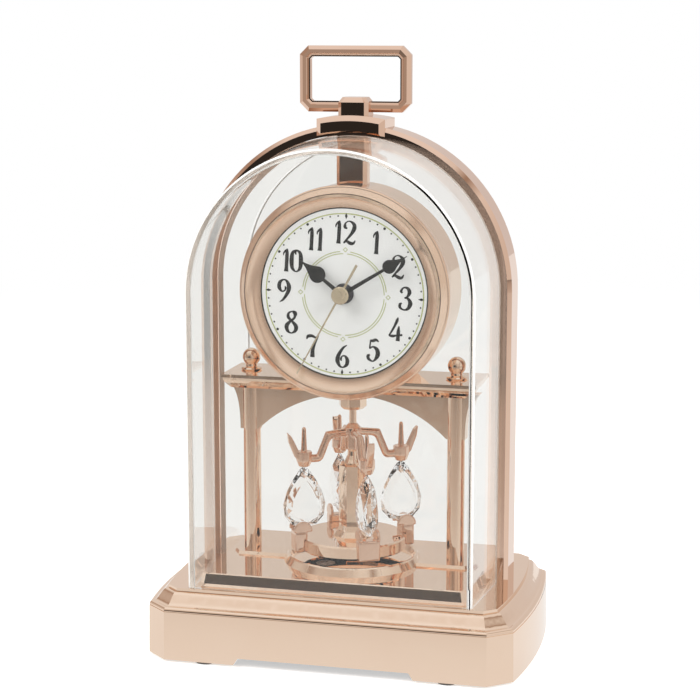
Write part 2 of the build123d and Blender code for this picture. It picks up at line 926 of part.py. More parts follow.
def bezel():
    """The ring round the dial: rounded rim, sloped band, crest and a hollow cone down to the dial."""
    lip = (bezel_lip_radius, dial_front - bezel_lip)
    crest = (bezel_crest_radius - bezel_crest_flat, bezel_front)
    hollow = ((lip[0] + crest[0]) / 2 + bezel_hollow, (lip[1] + crest[1]) / 2 + bezel_hollow)
    brow = (bezel_crest_radius, bezel_front)
    slope_end = (bezel_radius - bezel_edge, bezel_front + bezel_fall)
    side = (bezel_radius, slope_end[1] + bezel_edge)
    reach = bezel_edge * sqrt(0.5)
    seat = bezel_radius - bezel_seat + fit_gap
    profile = make_face([
        Line((bezel_lip_radius, dial_front), lip),
        ThreePointArc(lip, hollow, crest),
        Line(crest, brow),
        Line(brow, slope_end),
        ThreePointArc(slope_end, (slope_end[0] + reach, side[1] - reach), side),
        Line(side, (bezel_radius, drum_shoulder)),
        Line((bezel_radius, drum_shoulder), (seat, drum_shoulder)),
        Line((seat, drum_shoulder), (seat, dial_front)),
        Line((seat, dial_front), (bezel_lip_radius, dial_front)),
    ])
    return Pos(0, 0, head_z) * revolve(profile, Axis.Y)


def dial():
    """The dial plate under the bezel's lip."""
    return head_ring(bezel_radius - bezel_seat, dial_bore, dial_front, dial_back)


def knob_place():
    """The setting knob's axis, where its pinion meshes with the minute wheel."""
    reach = motion_module * (cannon_teeth + minute_wheel_teeth) / 2
    return (
        reach + reach * cos(radians(knob_angle)),
        reach * sin(radians(knob_angle)),
    )


def drum_rear_cover():
    """The drum's back with openings for the setting shaft and the battery."""
    plate = head_disc(drum_inner - fit_gap, drum_back - rear_cover_thickness, drum_back)
    x, z = knob_place()
    plate -= head_disc(knob_shaft + 0.6, drum_back - rear_cover_thickness, drum_back, x, z)
    window = Pos(0, head_z + movement_battery_z) * Rectangle(
        battery_length + 4, battery_diameter + 1
    )
    plate -= slab(window, drum_back - rear_cover_thickness, drum_back)
    for sx, sz in rear_screw_places():
        plate -= head_disc(screw_hole / 2, drum_back - rear_cover_thickness, drum_back, sx, sz)
    return plate


def head_screws(places, y_head, y_tip):
    """Screws driven towards the dial, with slotted heads at the back."""
    screws = []
    for x, z in places:
        screw = head_disc(screw_shank / 2, y_tip, y_head, x, z)
        screw += head_disc(screw_head / 2, y_head, y_head + screw_head_height, x, z)
        slot = Pos(x, head_z + z) * Rectangle(screw_head, screw_slot)
        screw -= slab(slot, y_head + screw_head_height / 2, y_head + screw_head_height)
        screws.append(screw)
    return together(screws)


def tooth_points(teeth, module, phase):
    """The outline of a wheel with straight-sided teeth, as points about its own centre."""
    pitch = 2 * pi / teeth
    tip = module * (teeth / 2 + tooth_addendum)
    root = module * (teeth / 2 - tooth_dedendum)
    points = []
    for tooth in range(teeth):
        middle = phase + tooth * pitch
        for radius, share in ((root, -0.27), (tip, -0.1), (tip, 0.1), (root, 0.27)):
            angle = middle + share * pitch
            points.append((radius * cos(angle), radius * sin(angle)))
    return points


def wheel(teeth, module, phase, place, y_front, bore):
    """A toothed wheel on an axis through the dial side, with a round bore."""
    disc = outline(tooth_points(teeth, module, phase))
    if bore > 0:
        disc -= Circle(bore)
    return slab(Pos(place[0], head_z + place[1]) * disc, y_front, y_front + wheel_thickness)


def mesh_phase(direction, driver_teeth, driver_phase, teeth):
    """The phase that puts a gap of the driven wheel at the driver's tooth."""
    return direction + pi + pi / teeth - (driver_phase - direction) * driver_teeth / teeth


# Wheel axes on the dial side, from the centre arbor, and the level of each wheel behind the front wall.
motion_reach = motion_module * (cannon_teeth + minute_wheel_teeth) / 2
hour_module = 2 * motion_reach / (minute_pinion_teeth + hour_wheel_teeth)
third_reach = train_module * (pinion_teeth + third_wheel_teeth) / 2
centre_module = 2 * third_reach / (pinion_teeth + centre_wheel_teeth)
seconds_reach = seconds_module * (pinion_teeth + seconds_wheel_teeth) / 2
rotor_reach = train_module * (pinion_teeth + intermediate_teeth) / 2
centre_axis = (0.0, 0.0)
minute_axis = (motion_reach, 0.0)
third_axis = (-third_reach, 0.0)
intermediate_axis = (0.0, seconds_reach)
rotor_axis = (0.0, seconds_reach + rotor_reach)
hour_level = train_front
motion_level = hour_level + wheel_pitch
centre_level = motion_level + wheel_pitch
seconds_level = centre_level + wheel_pitch
third_level = seconds_level + wheel_pitch
rotor_level = third_level + wheel_pitch
magnet_level = rotor_level + wheel_pitch
hour_hand_back = dial_front - hour_hand_gap
minute_hand_back = hour_hand_back - hand_spacing
second_hand_back = minute_hand_back - hand_spacing


def case_plan(inset):
    """The movement's square plan with round corners, kept inside the drum."""
    side = case_size - 2 * inset
    square = RectangleRounded(side, side, case_corner - inset / 2)
    return Pos(0, head_z) * (square & Circle(drum_inner - case_to_drum - inset))


def movement_front_case():
    """The movement's cup: front wall with the centre boss, side walls, posts and a battery wall."""
    plan = case_plan(0)
    room = case_plan(case_wall)
    case = slab(plan, case_front, case_lid_front) - slab(room, case_front + case_front_wall, case_lid_front)
    inner = case_front + case_front_wall
    for x, z in mirrored_pairs(case_screw_x, case_screw_z):
        case += head_disc(case_post_diameter / 2, inner, case_lid_front, x, z)
    for x, z in mirrored_pairs(case_screw_x, case_screw_z):
        case -= head_disc(screw_hole / 2, case_front, case_lid_front, x, z)
    top_of_bay = movement_battery_z + battery_diameter / 2 + 0.3
    rib = Pos(0, head_z + top_of_bay + case_wall / 2) * Rectangle(case_size - 2 * case_wall, case_wall)
    case += slab(rib, inner, case_lid_front)
    case += head_disc(boss_outer, case_front - boss_reach, case_front)
    case -= head_disc(hour_tube_outer + running_gap, case_front - boss_reach, inner)
    case += head_disc(pivot_radius, inner, motion_level + wheel_thickness + 0.2, *minute_axis)
    case -= head_disc(pivot_radius + pivot_gap, inner - 0.5, inner, *third_axis)
    for x in (-movement_board_post_x, movement_board_post_x):
        post_z = case_size / 2 - movement_board_drop
        case += head_disc(movement_board_post_radius, inner, inner + movement_board_stand, x, post_z)
    return case


def movement_rear_case():
    """The movement's lid with pivots, stator posts, and openings for shaft, battery and screws."""
    lid = slab(case_plan(0), case_lid_front, case_back)
    bay = Pos(0, head_z + movement_battery_z) * Rectangle(2 * bay_half_length, battery_diameter + 0.2)
    lid -= slab(bay, case_lid_front, case_back)
    for x, z in mirrored_pairs(case_screw_x, case_screw_z):
        lid -= head_disc(screw_hole / 2, case_lid_front, case_back, x, z)
    lid -= head_disc(knob_shaft + running_gap, case_lid_front, case_back, *knob_place())
    for place in (centre_axis, third_axis):
        radius = second_arbor if place == centre_axis else pivot_radius
        lid -= head_disc(radius + pivot_gap, case_lid_front, case_lid_front + 0.6, *place)
    lid += head_disc(pivot_radius, seconds_level - 0.2, case_lid_front, *intermediate_axis)
    lid += head_disc(pivot_radius, rotor_level - 0.2, case_lid_front, *rotor_axis)
    for x in stator_post_places():
        lid += head_disc(stator_post_radius, stator_back(), case_lid_front, x, rotor_axis[1])
    return lid


def stator_back():
    """The depth of the stator's rear face."""
    return magnet_level + magnet_length / 2 + stator_thickness / 2


def stator_post_places():
    """Where the stator stands on the lid, left and right of the rotor."""
    return (-magnet_radius - stator_margin, magnet_radius + motor_coil_length + 1.5 * stator_margin)


def stator():
    """The soft-iron plate round the rotor with a bar through the motor coil."""
    x0, x1 = stator_post_places()
    left = x0 - stator_bar
    right = magnet_radius + stator_margin
    plate = Pos((left + right) / 2, 0) * Rectangle(right - left, stator_width)
    bar = Pos((x0 + x1) / 2, 0) * Rectangle(x1 - x0 + 2 * stator_bar, stator_bar)
    flat = plate + bar - Circle(magnet_radius + motor_coil_gap)
    return slab(Pos(0, head_z + rotor_axis[1]) * flat, stator_back() - stator_thickness, stator_back())


def motor_coil():
    """The motor's coil on the stator bar."""
    x = magnet_radius + stator_margin + motor_coil_gap + motor_coil_length / 2
    y = stator_back() - stator_thickness / 2
    coil = Rot(0, 90, 0) * Cylinder(motor_coil_radius, motor_coil_length)
    coil -= Box(motor_coil_length, stator_thickness + 2 * fit_gap, stator_bar + 2 * fit_gap)
    return Pos(x, y, head_z + rotor_axis[1]) * coil


def movement_board():
    """The movement's circuit board with its chip and the quartz can."""
    front = case_front + case_front_wall + movement_board_stand
    back = front + movement_board_thickness
    board = Pos(0, (front + back) / 2, 0) * Box(
        movement_board_length, movement_board_thickness, movement_board_width
    )
    board += Pos(movement_chip_x, back + movement_board_thickness / 2, 0) * Box(
        movement_chip_length, movement_board_thickness, movement_chip_width
    )
    can = Rot(0, 90, 0) * Cylinder(quartz_radius, quartz_length)
    board += Pos(quartz_x, back + quartz_radius - fit_gap, 0) * can
    return Pos(0, 0, head_z + case_size / 2 - movement_board_drop) * board


def rotor():
    """The motor's magnet with its pinion, running on the lid's pin."""
    phase = mesh_phase(pi / 2, intermediate_teeth, intermediate_phase(), pinion_teeth)
    bore = pivot_radius + pivot_gap
    piece = wheel(pinion_teeth, train_module, phase, rotor_axis, rotor_level, bore)
    piece += head_ring(rotor_collar_radius, bore, rotor_level + wheel_thickness, magnet_level, *rotor_axis)
    return piece + head_ring(magnet_radius, bore, magnet_level, magnet_level + magnet_length, *rotor_axis)


def intermediate_phase():
    """The tooth phase of the intermediate pinion and its wheel, set by the seconds wheel."""
    return mesh_phase(pi / 2, seconds_wheel_teeth, 0.0, pinion_teeth)


def intermediate_wheel():
    """The wheel between rotor and seconds wheel."""
    phase = intermediate_phase()
    bore = pivot_radius + pivot_gap
    piece = wheel(pinion_teeth, seconds_module, phase, intermediate_axis, seconds_level, bore)
    top = seconds_level + wheel_thickness
    piece += head_ring(intermediate_collar_radius, bore, top, rotor_level, *intermediate_axis)
    return piece + wheel(intermediate_teeth, train_module, phase, intermediate_axis, rotor_level, bore)


def seconds_wheel():
    """The seconds arbor with its wheel and pinion."""
    piece = head_disc(second_arbor, second_hand_back - hand_thickness, case_lid_front + pivot_reach)
    piece += wheel(seconds_wheel_teeth, seconds_module, 0.0, centre_axis, seconds_level, 0)
    return piece + wheel(pinion_teeth, train_module, 0.0, centre_axis, third_level, 0)


def third_phase():
    """The tooth phase of the third wheel and its pinion, set by the seconds pinion."""
    return mesh_phase(pi, pinion_teeth, 0.0, third_wheel_teeth)


def third_wheel():
    """The wheel between seconds pinion and centre wheel."""
    inner = case_front + case_front_wall
    piece = head_disc(pivot_radius, inner - pivot_seat, case_lid_front + pivot_reach, *third_axis)
    piece += wheel(third_wheel_teeth, train_module, third_phase(), third_axis, third_level, 0)
    return piece + wheel(pinion_teeth, centre_module, third_phase(), third_axis, centre_level, 0)


def centre_wheel():
    """The wheel that drives the cannon pinion through a slip fit."""
    phase = mesh_phase(0.0, pinion_teeth, third_phase(), centre_wheel_teeth)
    bore = cannon_outer + pivot_gap
    return wheel(centre_wheel_teeth, centre_module, phase, centre_axis, centre_level, bore)


def cannon_pinion():
    """The minute tube with its pinion, round the seconds arbor."""
    bore = second_arbor + running_gap
    end = centre_level + wheel_pitch - cannon_end_gap
    tube = head_ring(cannon_outer, bore, minute_hand_back - hand_thickness, end)
    return tube + wheel(cannon_teeth, motion_module, 0.0, centre_axis, motion_level, bore)


def minute_phase():
    """The tooth phase of the minute wheel, set by the cannon pinion."""
    return mesh_phase(0.0, cannon_teeth, 0.0, minute_wheel_teeth)


def minute_wheel():
    """The motion work's intermediate wheel and pinion on the front wall's pin."""
    bore = pivot_radius + pivot_gap
    piece = wheel(minute_pinion_teeth, hour_module, minute_phase(), minute_axis, hour_level, bore)
    top = hour_level + wheel_thickness
    piece += head_ring(minute_collar_radius, bore, top, motion_level, *minute_axis)
    return piece + wheel(minute_wheel_teeth, motion_module, minute_phase(), minute_axis, motion_level, bore)


def hour_wheel():
    """The hour tube with its wheel, round the minute tube."""
    phase = mesh_phase(pi, minute_pinion_teeth, minute_phase(), hour_wheel_teeth)
    bore = cannon_outer + running_gap
    tube = head_ring(hour_tube_outer, bore, hour_hand_back - hand_thickness, hour_level)
    return tube + wheel(hour_wheel_teeth, hour_module, phase, centre_axis, hour_level, bore)


def setting_knob():
    """The setting shaft: a pinion on the minute wheel and a ribbed knob behind the drum."""
    phase = mesh_phase(radians(knob_angle), minute_wheel_teeth, minute_phase(), cannon_teeth)
    place = knob_place()
    start = drum_back + knob_gap
    knob = wheel(cannon_teeth, motion_module, phase, place, motion_level, 0)
    knob += head_disc(knob_shaft, motion_level + wheel_thickness, start, *place)
    knob += head_disc(knob_diameter / 2, start, start + knob_length, *place)
    for rib in range(knob_ribs):
        angle = 2 * pi * rib / knob_ribs
        x = place[0] + knob_diameter / 2 * cos(angle)
        z = place[1] + knob_diameter / 2 * sin(angle)
        knob -= head_disc(knob_rib_radius, start, start + knob_length, x, z)
    return knob


def hand_turn(angle):
    """Turns a hand drawn straight up to its clock angle, about the head's axis."""
    return Pos(0, 0, head_z) * Rot(0, angle, 0) * Pos(0, 0, -head_z)


def spade_hand(length, bulb, bulb_radius, hub_radius, bore, y_back, angle):
    """A hand with a slim shaft, a round bulb and a pointed tip."""
    shaft = hand_shaft / 2
    flank_x = bulb_radius * cos(radians(30))
    flank_y = bulb + bulb_radius * sin(radians(30))
    waist = (shaft / 2, bulb + bulb_radius * 1.7)
    tip = hand_tip / 2
    shape = Circle(hub_radius)
    shape += outline([(-shaft * 1.6, 0), (shaft * 1.6, 0), (shaft, bulb), (-shaft, bulb)])
    shape += Pos(0, bulb) * Circle(bulb_radius)
    shape += make_face([
        Line((-flank_x, flank_y), (flank_x, flank_y)),
        Bezier((flank_x, flank_y), waist, (tip, length)),
        Line((tip, length), (-tip, length)),
        Bezier((-tip, length), (-waist[0], waist[1]), (-flank_x, flank_y)),
    ])
    shape -= Circle(bore)
    return hand_turn(angle) * slab(Pos(0, head_z) * shape, y_back - hand_thickness, y_back)


def second_hand():
    """A fine needle with a round cap over the centre."""
    y = second_hand_back
    needle = outline([
        (-second_tail_half, -second_hand_tail),
        (second_tail_half, -second_hand_tail),
        (second_root_half, 0),
        (second_tip_half, second_hand_length),
        (-second_tip_half, second_hand_length),
        (-second_root_half, 0),
    ])
    hand = hand_turn(second_hand_angle) * slab(Pos(0, head_z) * needle, y - hand_thickness, y)
    hand += turned_head([
        (0, y),
        (hand_cap_radius, y),
        (hand_cap_radius, y - hand_cap_side),
        (hand_cap_radius - hand_cap_bevel, y - hand_cap_side - hand_cap_bevel),
        (0, y - hand_cap_height),
    ])
    return hand - head_disc(second_arbor, y - hand_thickness, y)


def suspension_bush():
    """The eight-sided bush under the drum, with a pocket that carries the rod's head."""
    shoulder = bush_bottom + bush_bevel
    widest = prism(bush_width, bush_sides, shoulder)
    body = loft([prism(bush_width - 2 * bush_bevel, bush_sides, bush_bottom), widest], ruled=True)
    body += extrude(widest, amount=bush_top - shoulder)
    body -= rod(bush_cavity / 2, bush_floor, bush_top)
    body -= rod(rod_diameter / 2 + rod_gap, bush_bottom, bush_floor)
    body -= head_disc(drum_radius, -bush_width, bush_width)
    return body - head_disc(bezel_radius + fit_gap, -bush_width, drum_shoulder)


def pendulum_rod():
    """The rod with a head that turns on the bush's floor, down into the hub."""
    head = rod(rod_head_diameter / 2, bush_floor + fit_gap, bush_floor + fit_gap + rod_head_height)
    return head + rod(rod_diameter / 2, hub_top, bush_floor + fit_gap)


def arm_bar():
    """A cast swan-neck arm with cut edges, from the hub out and down to its cup."""
    root = hub_width / 4
    end = cup_radius - cup_width / 4
    knee = (arm_shoulder - arm_knee_back, hub_shoulder - arm_fall - arm_knee_drop)
    heel = (arm_elbow - arm_heel_back, arm_level - arm_width)
    profile = outline([
        (root, hub_shoulder),
        (arm_shoulder, hub_shoulder - arm_fall),
        (arm_elbow, arm_level),
        (end, arm_level),
        (end, arm_level - arm_width),
        heel,
        knee,
        (root, hub_shoulder - arm_width),
    ])
    for bend in (knee, heel):
        profile = fillet(profile.vertices().sort_by_distance((*bend, 0))[0], arm_bend)
    arm = slab(profile, -arm_width / 2, arm_width / 2)
    faces = arm.faces().sort_by(Axis.Y)
    return chamfer(faces[0].edges() + faces[-1].edges(), arm_bevel)


def cup():
    """A small eight-sided cup with a pin standing in it and a leaf on its outer side."""
    flat = 180 / cup_sides
    waist = prism(cup_width, cup_sides, cup_waist, flat)
    piece = extrude(waist, amount=cup_top - cup_waist)
    piece += loft([prism(cup_foot_width, cup_sides, cup_bottom, flat), waist], ruled=True)
    pin_radius = cup_pin_diameter / 2
    piece += turned([
        (0, cup_top),
        (pin_radius * 1.15, cup_top),
        (pin_radius * 0.8, cup_pin_top - 0.8),
        (pin_radius * 0.4, cup_pin_top),
        (0, cup_pin_top),
    ])
    root = cup_width / 2
    leaf = outline([
        (root - 0.8, cup_waist),
        (root + 0.9, cup_waist + 1.4),
        (leaf_reach - 0.5, cup_top + (leaf_top - cup_top) * 0.5),
        (leaf_reach, leaf_top),
        (leaf_reach - 1.6, leaf_top - 1.6),
        (root + 0.2, cup_top + 2.2),
        (root - 0.8, cup_top),
    ])
    piece += slab(leaf, -leaf_width / 2, leaf_width / 2)
    piece -= rod(crystal_peg_radius + fit_gap, cup_bottom, cup_bottom + crystal_peg + fit_gap)
    return Pos(cup_radius, 0, 0) * piece


def arm_turns():
    """The turn of each arm about the upright axis."""
    return [Rot(0, 0, pendulum_turn + 360 / arm_count * k) for k in range(arm_count)]


def arm_spider():
    """The hub with its arms and cups, one moulding."""
    hub = extrude(prism(hub_width, hub_sides, hub_bottom, pendulum_turn), amount=hub_shoulder - hub_bottom)
    hub += loft(
        [
            prism(hub_width, hub_sides, hub_shoulder, pendulum_turn),
            prism(rod_diameter + hub_cap_gap, hub_sides, hub_top, pendulum_turn),
        ],
        ruled=True,
    )
    arm = arm_bar() + cup()
    for turn in arm_turns():
        hub += turn * arm
    return hub


def crystal():
    """A flat faceted teardrop in its radial plane, with a peg up into the cup."""
    height = cup_bottom - crystal_bottom
    shape = [
        (0.11, 0.0), (0.30, 0.17), (0.60, 0.37), (0.88, 0.55),
        (1.0, 0.67), (0.90, 0.80), (0.56, 0.92), (0.14, 1.0),
    ]
    middle = 0.62

    def face(scale, y):
        right = []
        for across, down in shape:
            x = across * crystal_half_width * scale
            z = cup_bottom - height * (middle + (down - middle) * scale)
            right.append((x, z))
        left = [(-x, z) for x, z in reversed(right)]
        return Plane.XZ.offset(-y) * outline(right + left)

    half = crystal_thickness / 2
    girdle = crystal_girdle / 2
    drop = loft([face(crystal_table, -half), face(1.0, -girdle)], ruled=True)
    drop += slab_between(face(1.0, -girdle), crystal_girdle)
    drop += loft([face(1.0, girdle), face(crystal_table, half)], ruled=True)
    drop += rod(crystal_peg_radius, cup_bottom - crystal_peg_sink, cup_bottom + crystal_peg)
    return Pos(cup_radius, 0, 0) * drop


def slab_between(face, depth):
    """A standing face made solid towards the back."""
    return extrude(face, amount=depth, dir=(0, 1, 0))


def pendulum_pillar():
    """The eight-sided pillar with a turned neck above and a spreading foot below."""
    twist = pendulum_turn + pillar_twist
    shoulder = pillar_top - pillar_bevel
    pillar = extrude(prism(pillar_width, pillar_sides, pillar_foot, twist), amount=shoulder - pillar_foot)
    pillar += loft(
        [
            prism(pillar_width, pillar_sides, shoulder, twist),
            prism(pillar_width - 2 * pillar_bevel, pillar_sides, pillar_top, twist),
        ],
        ruled=True,
    )
    neck_height = hub_bottom - pillar_top
    flare = ((0.34, 0.0), (0.34, 0.08), (0.27, 0.3), (0.21, 0.55), (0.19, 0.85), (0.23, 1.0))
    skirt = [(pillar_width * across, pillar_top + neck_height * up) for across, up in flare]
    pillar += turned([(0, pillar_top), *skirt, (0, hub_bottom)])
    rise = pillar_foot - disc_top
    for low, high, wide, narrow in ((0.0, 0.35, 1.0, 0.82), (0.35, 0.7, 0.82, 0.70), (0.7, 1.0, 0.70, 0.68)):
        pillar += loft(
            [
                prism(pillar_spread * wide, pillar_sides, disc_top + rise * low, twist),
                prism(pillar_spread * narrow, pillar_sides, disc_top + rise * high, twist),
            ],
            ruled=True,
        )
    return pillar


def magnet_places():
    """The drive magnets under the pendulum's disc."""
    angles = [radians(pendulum_turn + 45 + 360 / arm_count * k) for k in range(arm_count)]
    return [(magnet_circle * cos(a), magnet_circle * sin(a)) for a in angles]


def pendulum_disc():
    """The pendulum's heavy disc with pockets for the drive magnets."""
    disc = turned([
        (0, disc_bottom),
        (disc_radius - disc_edge, disc_bottom),
        (disc_radius, disc_bottom + disc_edge),
        (disc_radius, disc_top - disc_edge),
        (disc_radius - disc_edge, disc_top),
        (0, disc_top),
    ])
    for x, y in magnet_places():
        disc -= rod(drive_magnet_diameter / 2, disc_bottom, disc_bottom + drive_magnet_height, x, y)
    return disc


def drive_magnets():
    """Round magnets flush in the disc's underside."""
    return together([
        rod(drive_magnet_diameter / 2, disc_bottom, disc_bottom + drive_magnet_height, x, y)
        for x, y in magnet_places()
    ])


def scroll_blocks():
    """Blocks on the disc's rim, each with two round ears beside a crystal's lower tip."""
    length = block_outer - block_inner
    block = Pos((block_inner + block_outer) / 2, 0, (disc_bottom + block_top) / 2) * Box(
        length, 2 * block_half, block_top - disc_bottom
    )
    block = chamfer(block.edges(), block_bevel)
    keep = rod(disc_radius, disc_bottom, disc_top)
    ear_x = (block_inner + block_outer) / 2 - ear_setback
    ear_plan = Pos(ear_x, block_top + ear_lift) * Circle(ear_radius)
    ear_plan &= Pos(cup_radius, block_top + ear_radius) * Rectangle(4 * ear_radius, 2 * ear_radius)
    for side in (-1, 1):
        low, high = sorted((side * ear_inner, side * (block_half - ear_side_gap)))
        block += slab(ear_plan, low, high)
    return together([turn * (block - keep) for turn in arm_turns()])


frame_solid = arch_frame()
handle_solid = carry_handle()
crystal_solid = crystal()
crystal_names = ("crystal_right", "crystal_back", "crystal_left", "crystal_front")

nodes = {
    "base_shell": base_shell(),
    "base_bottom_plate": bottom_plate(),
    "base_screws": base_screws(),
    "rubber_feet": rubber_feet(),
    "base_battery_door": battery_door(),
    "base_battery": cell(0, bay_y, battery_z),
    "base_battery_contacts": cell_contacts(bay_y, battery_z, battery_diameter * contact_share),
    "drive_board": drive_board(),
    "drive_coil": drive_coil(),
    "mirror_deck": mirror_deck(),
    "pendulum_tray": pendulum_tray(),
    "column_left": column(-1),
    "column_right": column(1),
    "spandrels": together([spandrel(-1), spandrel(1)]),
    "entablature": entablature(),
    "finial_left": finial(-1),
    "finial_right": finial(1),
    "arch_frame": frame_solid,
    "keystone": keystone(frame_solid),
    "carry_handle": handle_solid,
    "handle_post": handle_post(handle_solid),
    "head_strap": head_strap(),
    "front_cover": cover(cover_front, frame_front + cover_plug),
    "rear_cover": cover(cover_back, frame_back - cover_plug),
    "drum_shell": drum_shell(),
    "bezel": bezel(),
    "dial": dial(),
    "drum_rear_cover": drum_rear_cover(),
    "drum_rear_screws": head_screws(rear_screw_places(), drum_back, drum_back - 9),
    "movement_front_case": movement_front_case(),
    "movement_rear_case": movement_rear_case(),
    "movement_screws": head_screws(
        mirrored_pairs(case_screw_x, case_screw_z), case_back, case_front - ledge_thickness / 2
    ),
    "movement_battery": cell(
        0, case_front + case_front_wall + battery_diameter / 2 + fit_gap, head_z + movement_battery_z
    ),
    "movement_contacts": cell_contacts(
        case_front + case_front_wall + battery_diameter / 2,
        head_z + movement_battery_z,
        battery_diameter * contact_share,
    ),
    "movement_board": movement_board(),
    "motor_coil": motor_coil(),
    "stator": stator(),
    "rotor": rotor(),
    "intermediate_wheel": intermediate_wheel(),
    "seconds_wheel": seconds_wheel(),
    "third_wheel": third_wheel(),
    "centre_wheel": centre_wheel(),
    "cannon_pinion": cannon_pinion(),
    "minute_wheel": minute_wheel(),
    "hour_wheel": hour_wheel(),
    "setting_knob": setting_knob(),
    "hour_hand": spade_hand(
        hour_hand_length, hour_hand_bulb, hour_bulb_radius, hour_hub_radius, hour_tube_outer,
        hour_hand_back, hour_hand_angle,
    ),
    "minute_hand": spade_hand(
        minute_hand_length, minute_hand_bulb, minute_bulb_radius, minute_hub_radius, cannon_outer,
        minute_hand_back, minute_hand_angle,
    ),
    "second_hand": second_hand(),
    "suspension_bush": suspension_bush(),
    "pendulum_rod": pendulum_rod(),
    "arm_spider": arm_spider(),
    "pendulum_pillar": pendulum_pillar(),
    "pendulum_disc": pendulum_disc(),
    "scroll_blocks": scroll_blocks(),
    "drive_magnets": drive_magnets(),
}
for name, turn in zip(crystal_names, arm_turns()):
    nodes[name] = turn * crystal_solid

for name, piece in nodes.items():
    export_step(piece, f"parts/{name}.step")
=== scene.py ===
"""Looks of a desk clock with a revolving pendulum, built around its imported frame.

The covers, the crystals, the cast arms and scroll blocks and the dial's print are modelled here.
Every other piece keeps its frame mesh and gets its finish here. All sizes are in metres, in the
frame's own axes: +Z up, the dial faces -Y and +X is to the right as the dial is read.
"""

import json
import logging
import math
from dataclasses import dataclass
from enum import Enum, IntEnum
from typing import Any, ClassVar, Iterable, Mapping, Optional, Sequence, Union

import bmesh
import bpy
from bmesh.types import BMesh, BMVert
from bpy.types import ID, Material, Mesh, Node, NodeSocket, NodeTree, Object
from mathutils import Matrix, Vector


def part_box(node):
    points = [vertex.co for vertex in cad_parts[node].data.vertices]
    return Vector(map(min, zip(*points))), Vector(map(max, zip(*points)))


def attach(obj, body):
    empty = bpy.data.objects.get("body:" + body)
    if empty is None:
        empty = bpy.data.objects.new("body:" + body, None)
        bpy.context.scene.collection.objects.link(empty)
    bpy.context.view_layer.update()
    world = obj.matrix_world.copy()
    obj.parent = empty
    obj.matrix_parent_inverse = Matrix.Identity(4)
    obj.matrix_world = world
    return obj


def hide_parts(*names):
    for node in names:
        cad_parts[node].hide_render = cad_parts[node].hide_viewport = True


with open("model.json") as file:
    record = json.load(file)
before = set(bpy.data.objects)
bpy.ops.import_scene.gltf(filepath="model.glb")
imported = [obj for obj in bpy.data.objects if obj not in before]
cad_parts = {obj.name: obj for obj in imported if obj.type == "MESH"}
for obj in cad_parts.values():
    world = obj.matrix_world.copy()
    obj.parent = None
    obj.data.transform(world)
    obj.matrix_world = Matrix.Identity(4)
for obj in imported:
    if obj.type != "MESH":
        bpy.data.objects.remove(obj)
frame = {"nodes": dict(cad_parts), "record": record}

LOG = logging.getLogger("clock")
MM = 0.001
WHITE = (1.0, 1.0, 1.0, 1.0)
HOURS = 12
MINUTES = 60
# A quarter turn and the four quarters of the dial, in degrees.
QUARTER = 90
QUARTERS = range(0, 360, QUARTER)
# Turn of the right crystal's arm at rest, in degrees.
FIRST_ARM = 30.0
# A count over this is at least one.
UNDER_ONE = 0.5
Triple = tuple[float, float, float]
Point = tuple[float, float]
Stop = tuple[float, Triple]
Feed = Union[NodeSocket, float, Sequence[float]]
Feeds = Mapping[Union[str, int], Feed]


class Body(str, Enum):
    """The frame's bodies that new pieces ride on."""

    CASE = "case"
    PENDULUM = "pendulum"
    BACK_COVER = "back_cover"


class TreeKind(str, Enum):
    """Kinds of node group."""

    SHADER = "ShaderNodeTree"
    GEOMETRY = "GeometryNodeTree"


class Socket(str, Enum):
    """Kinds of a node group's sockets."""

    VECTOR = "NodeSocketVector"
    NUMBER = "NodeSocketFloat"
    COUNT = "NodeSocketInt"
    COLOUR = "NodeSocketColor"
    SHAPE = "NodeSocketGeometry"
    MATERIAL = "NodeSocketMaterial"


class MixSocket(IntEnum):
    """Places of the colour sockets among those of a mix node."""

    FIRST = 6
    SECOND = 7
    RESULT = 2


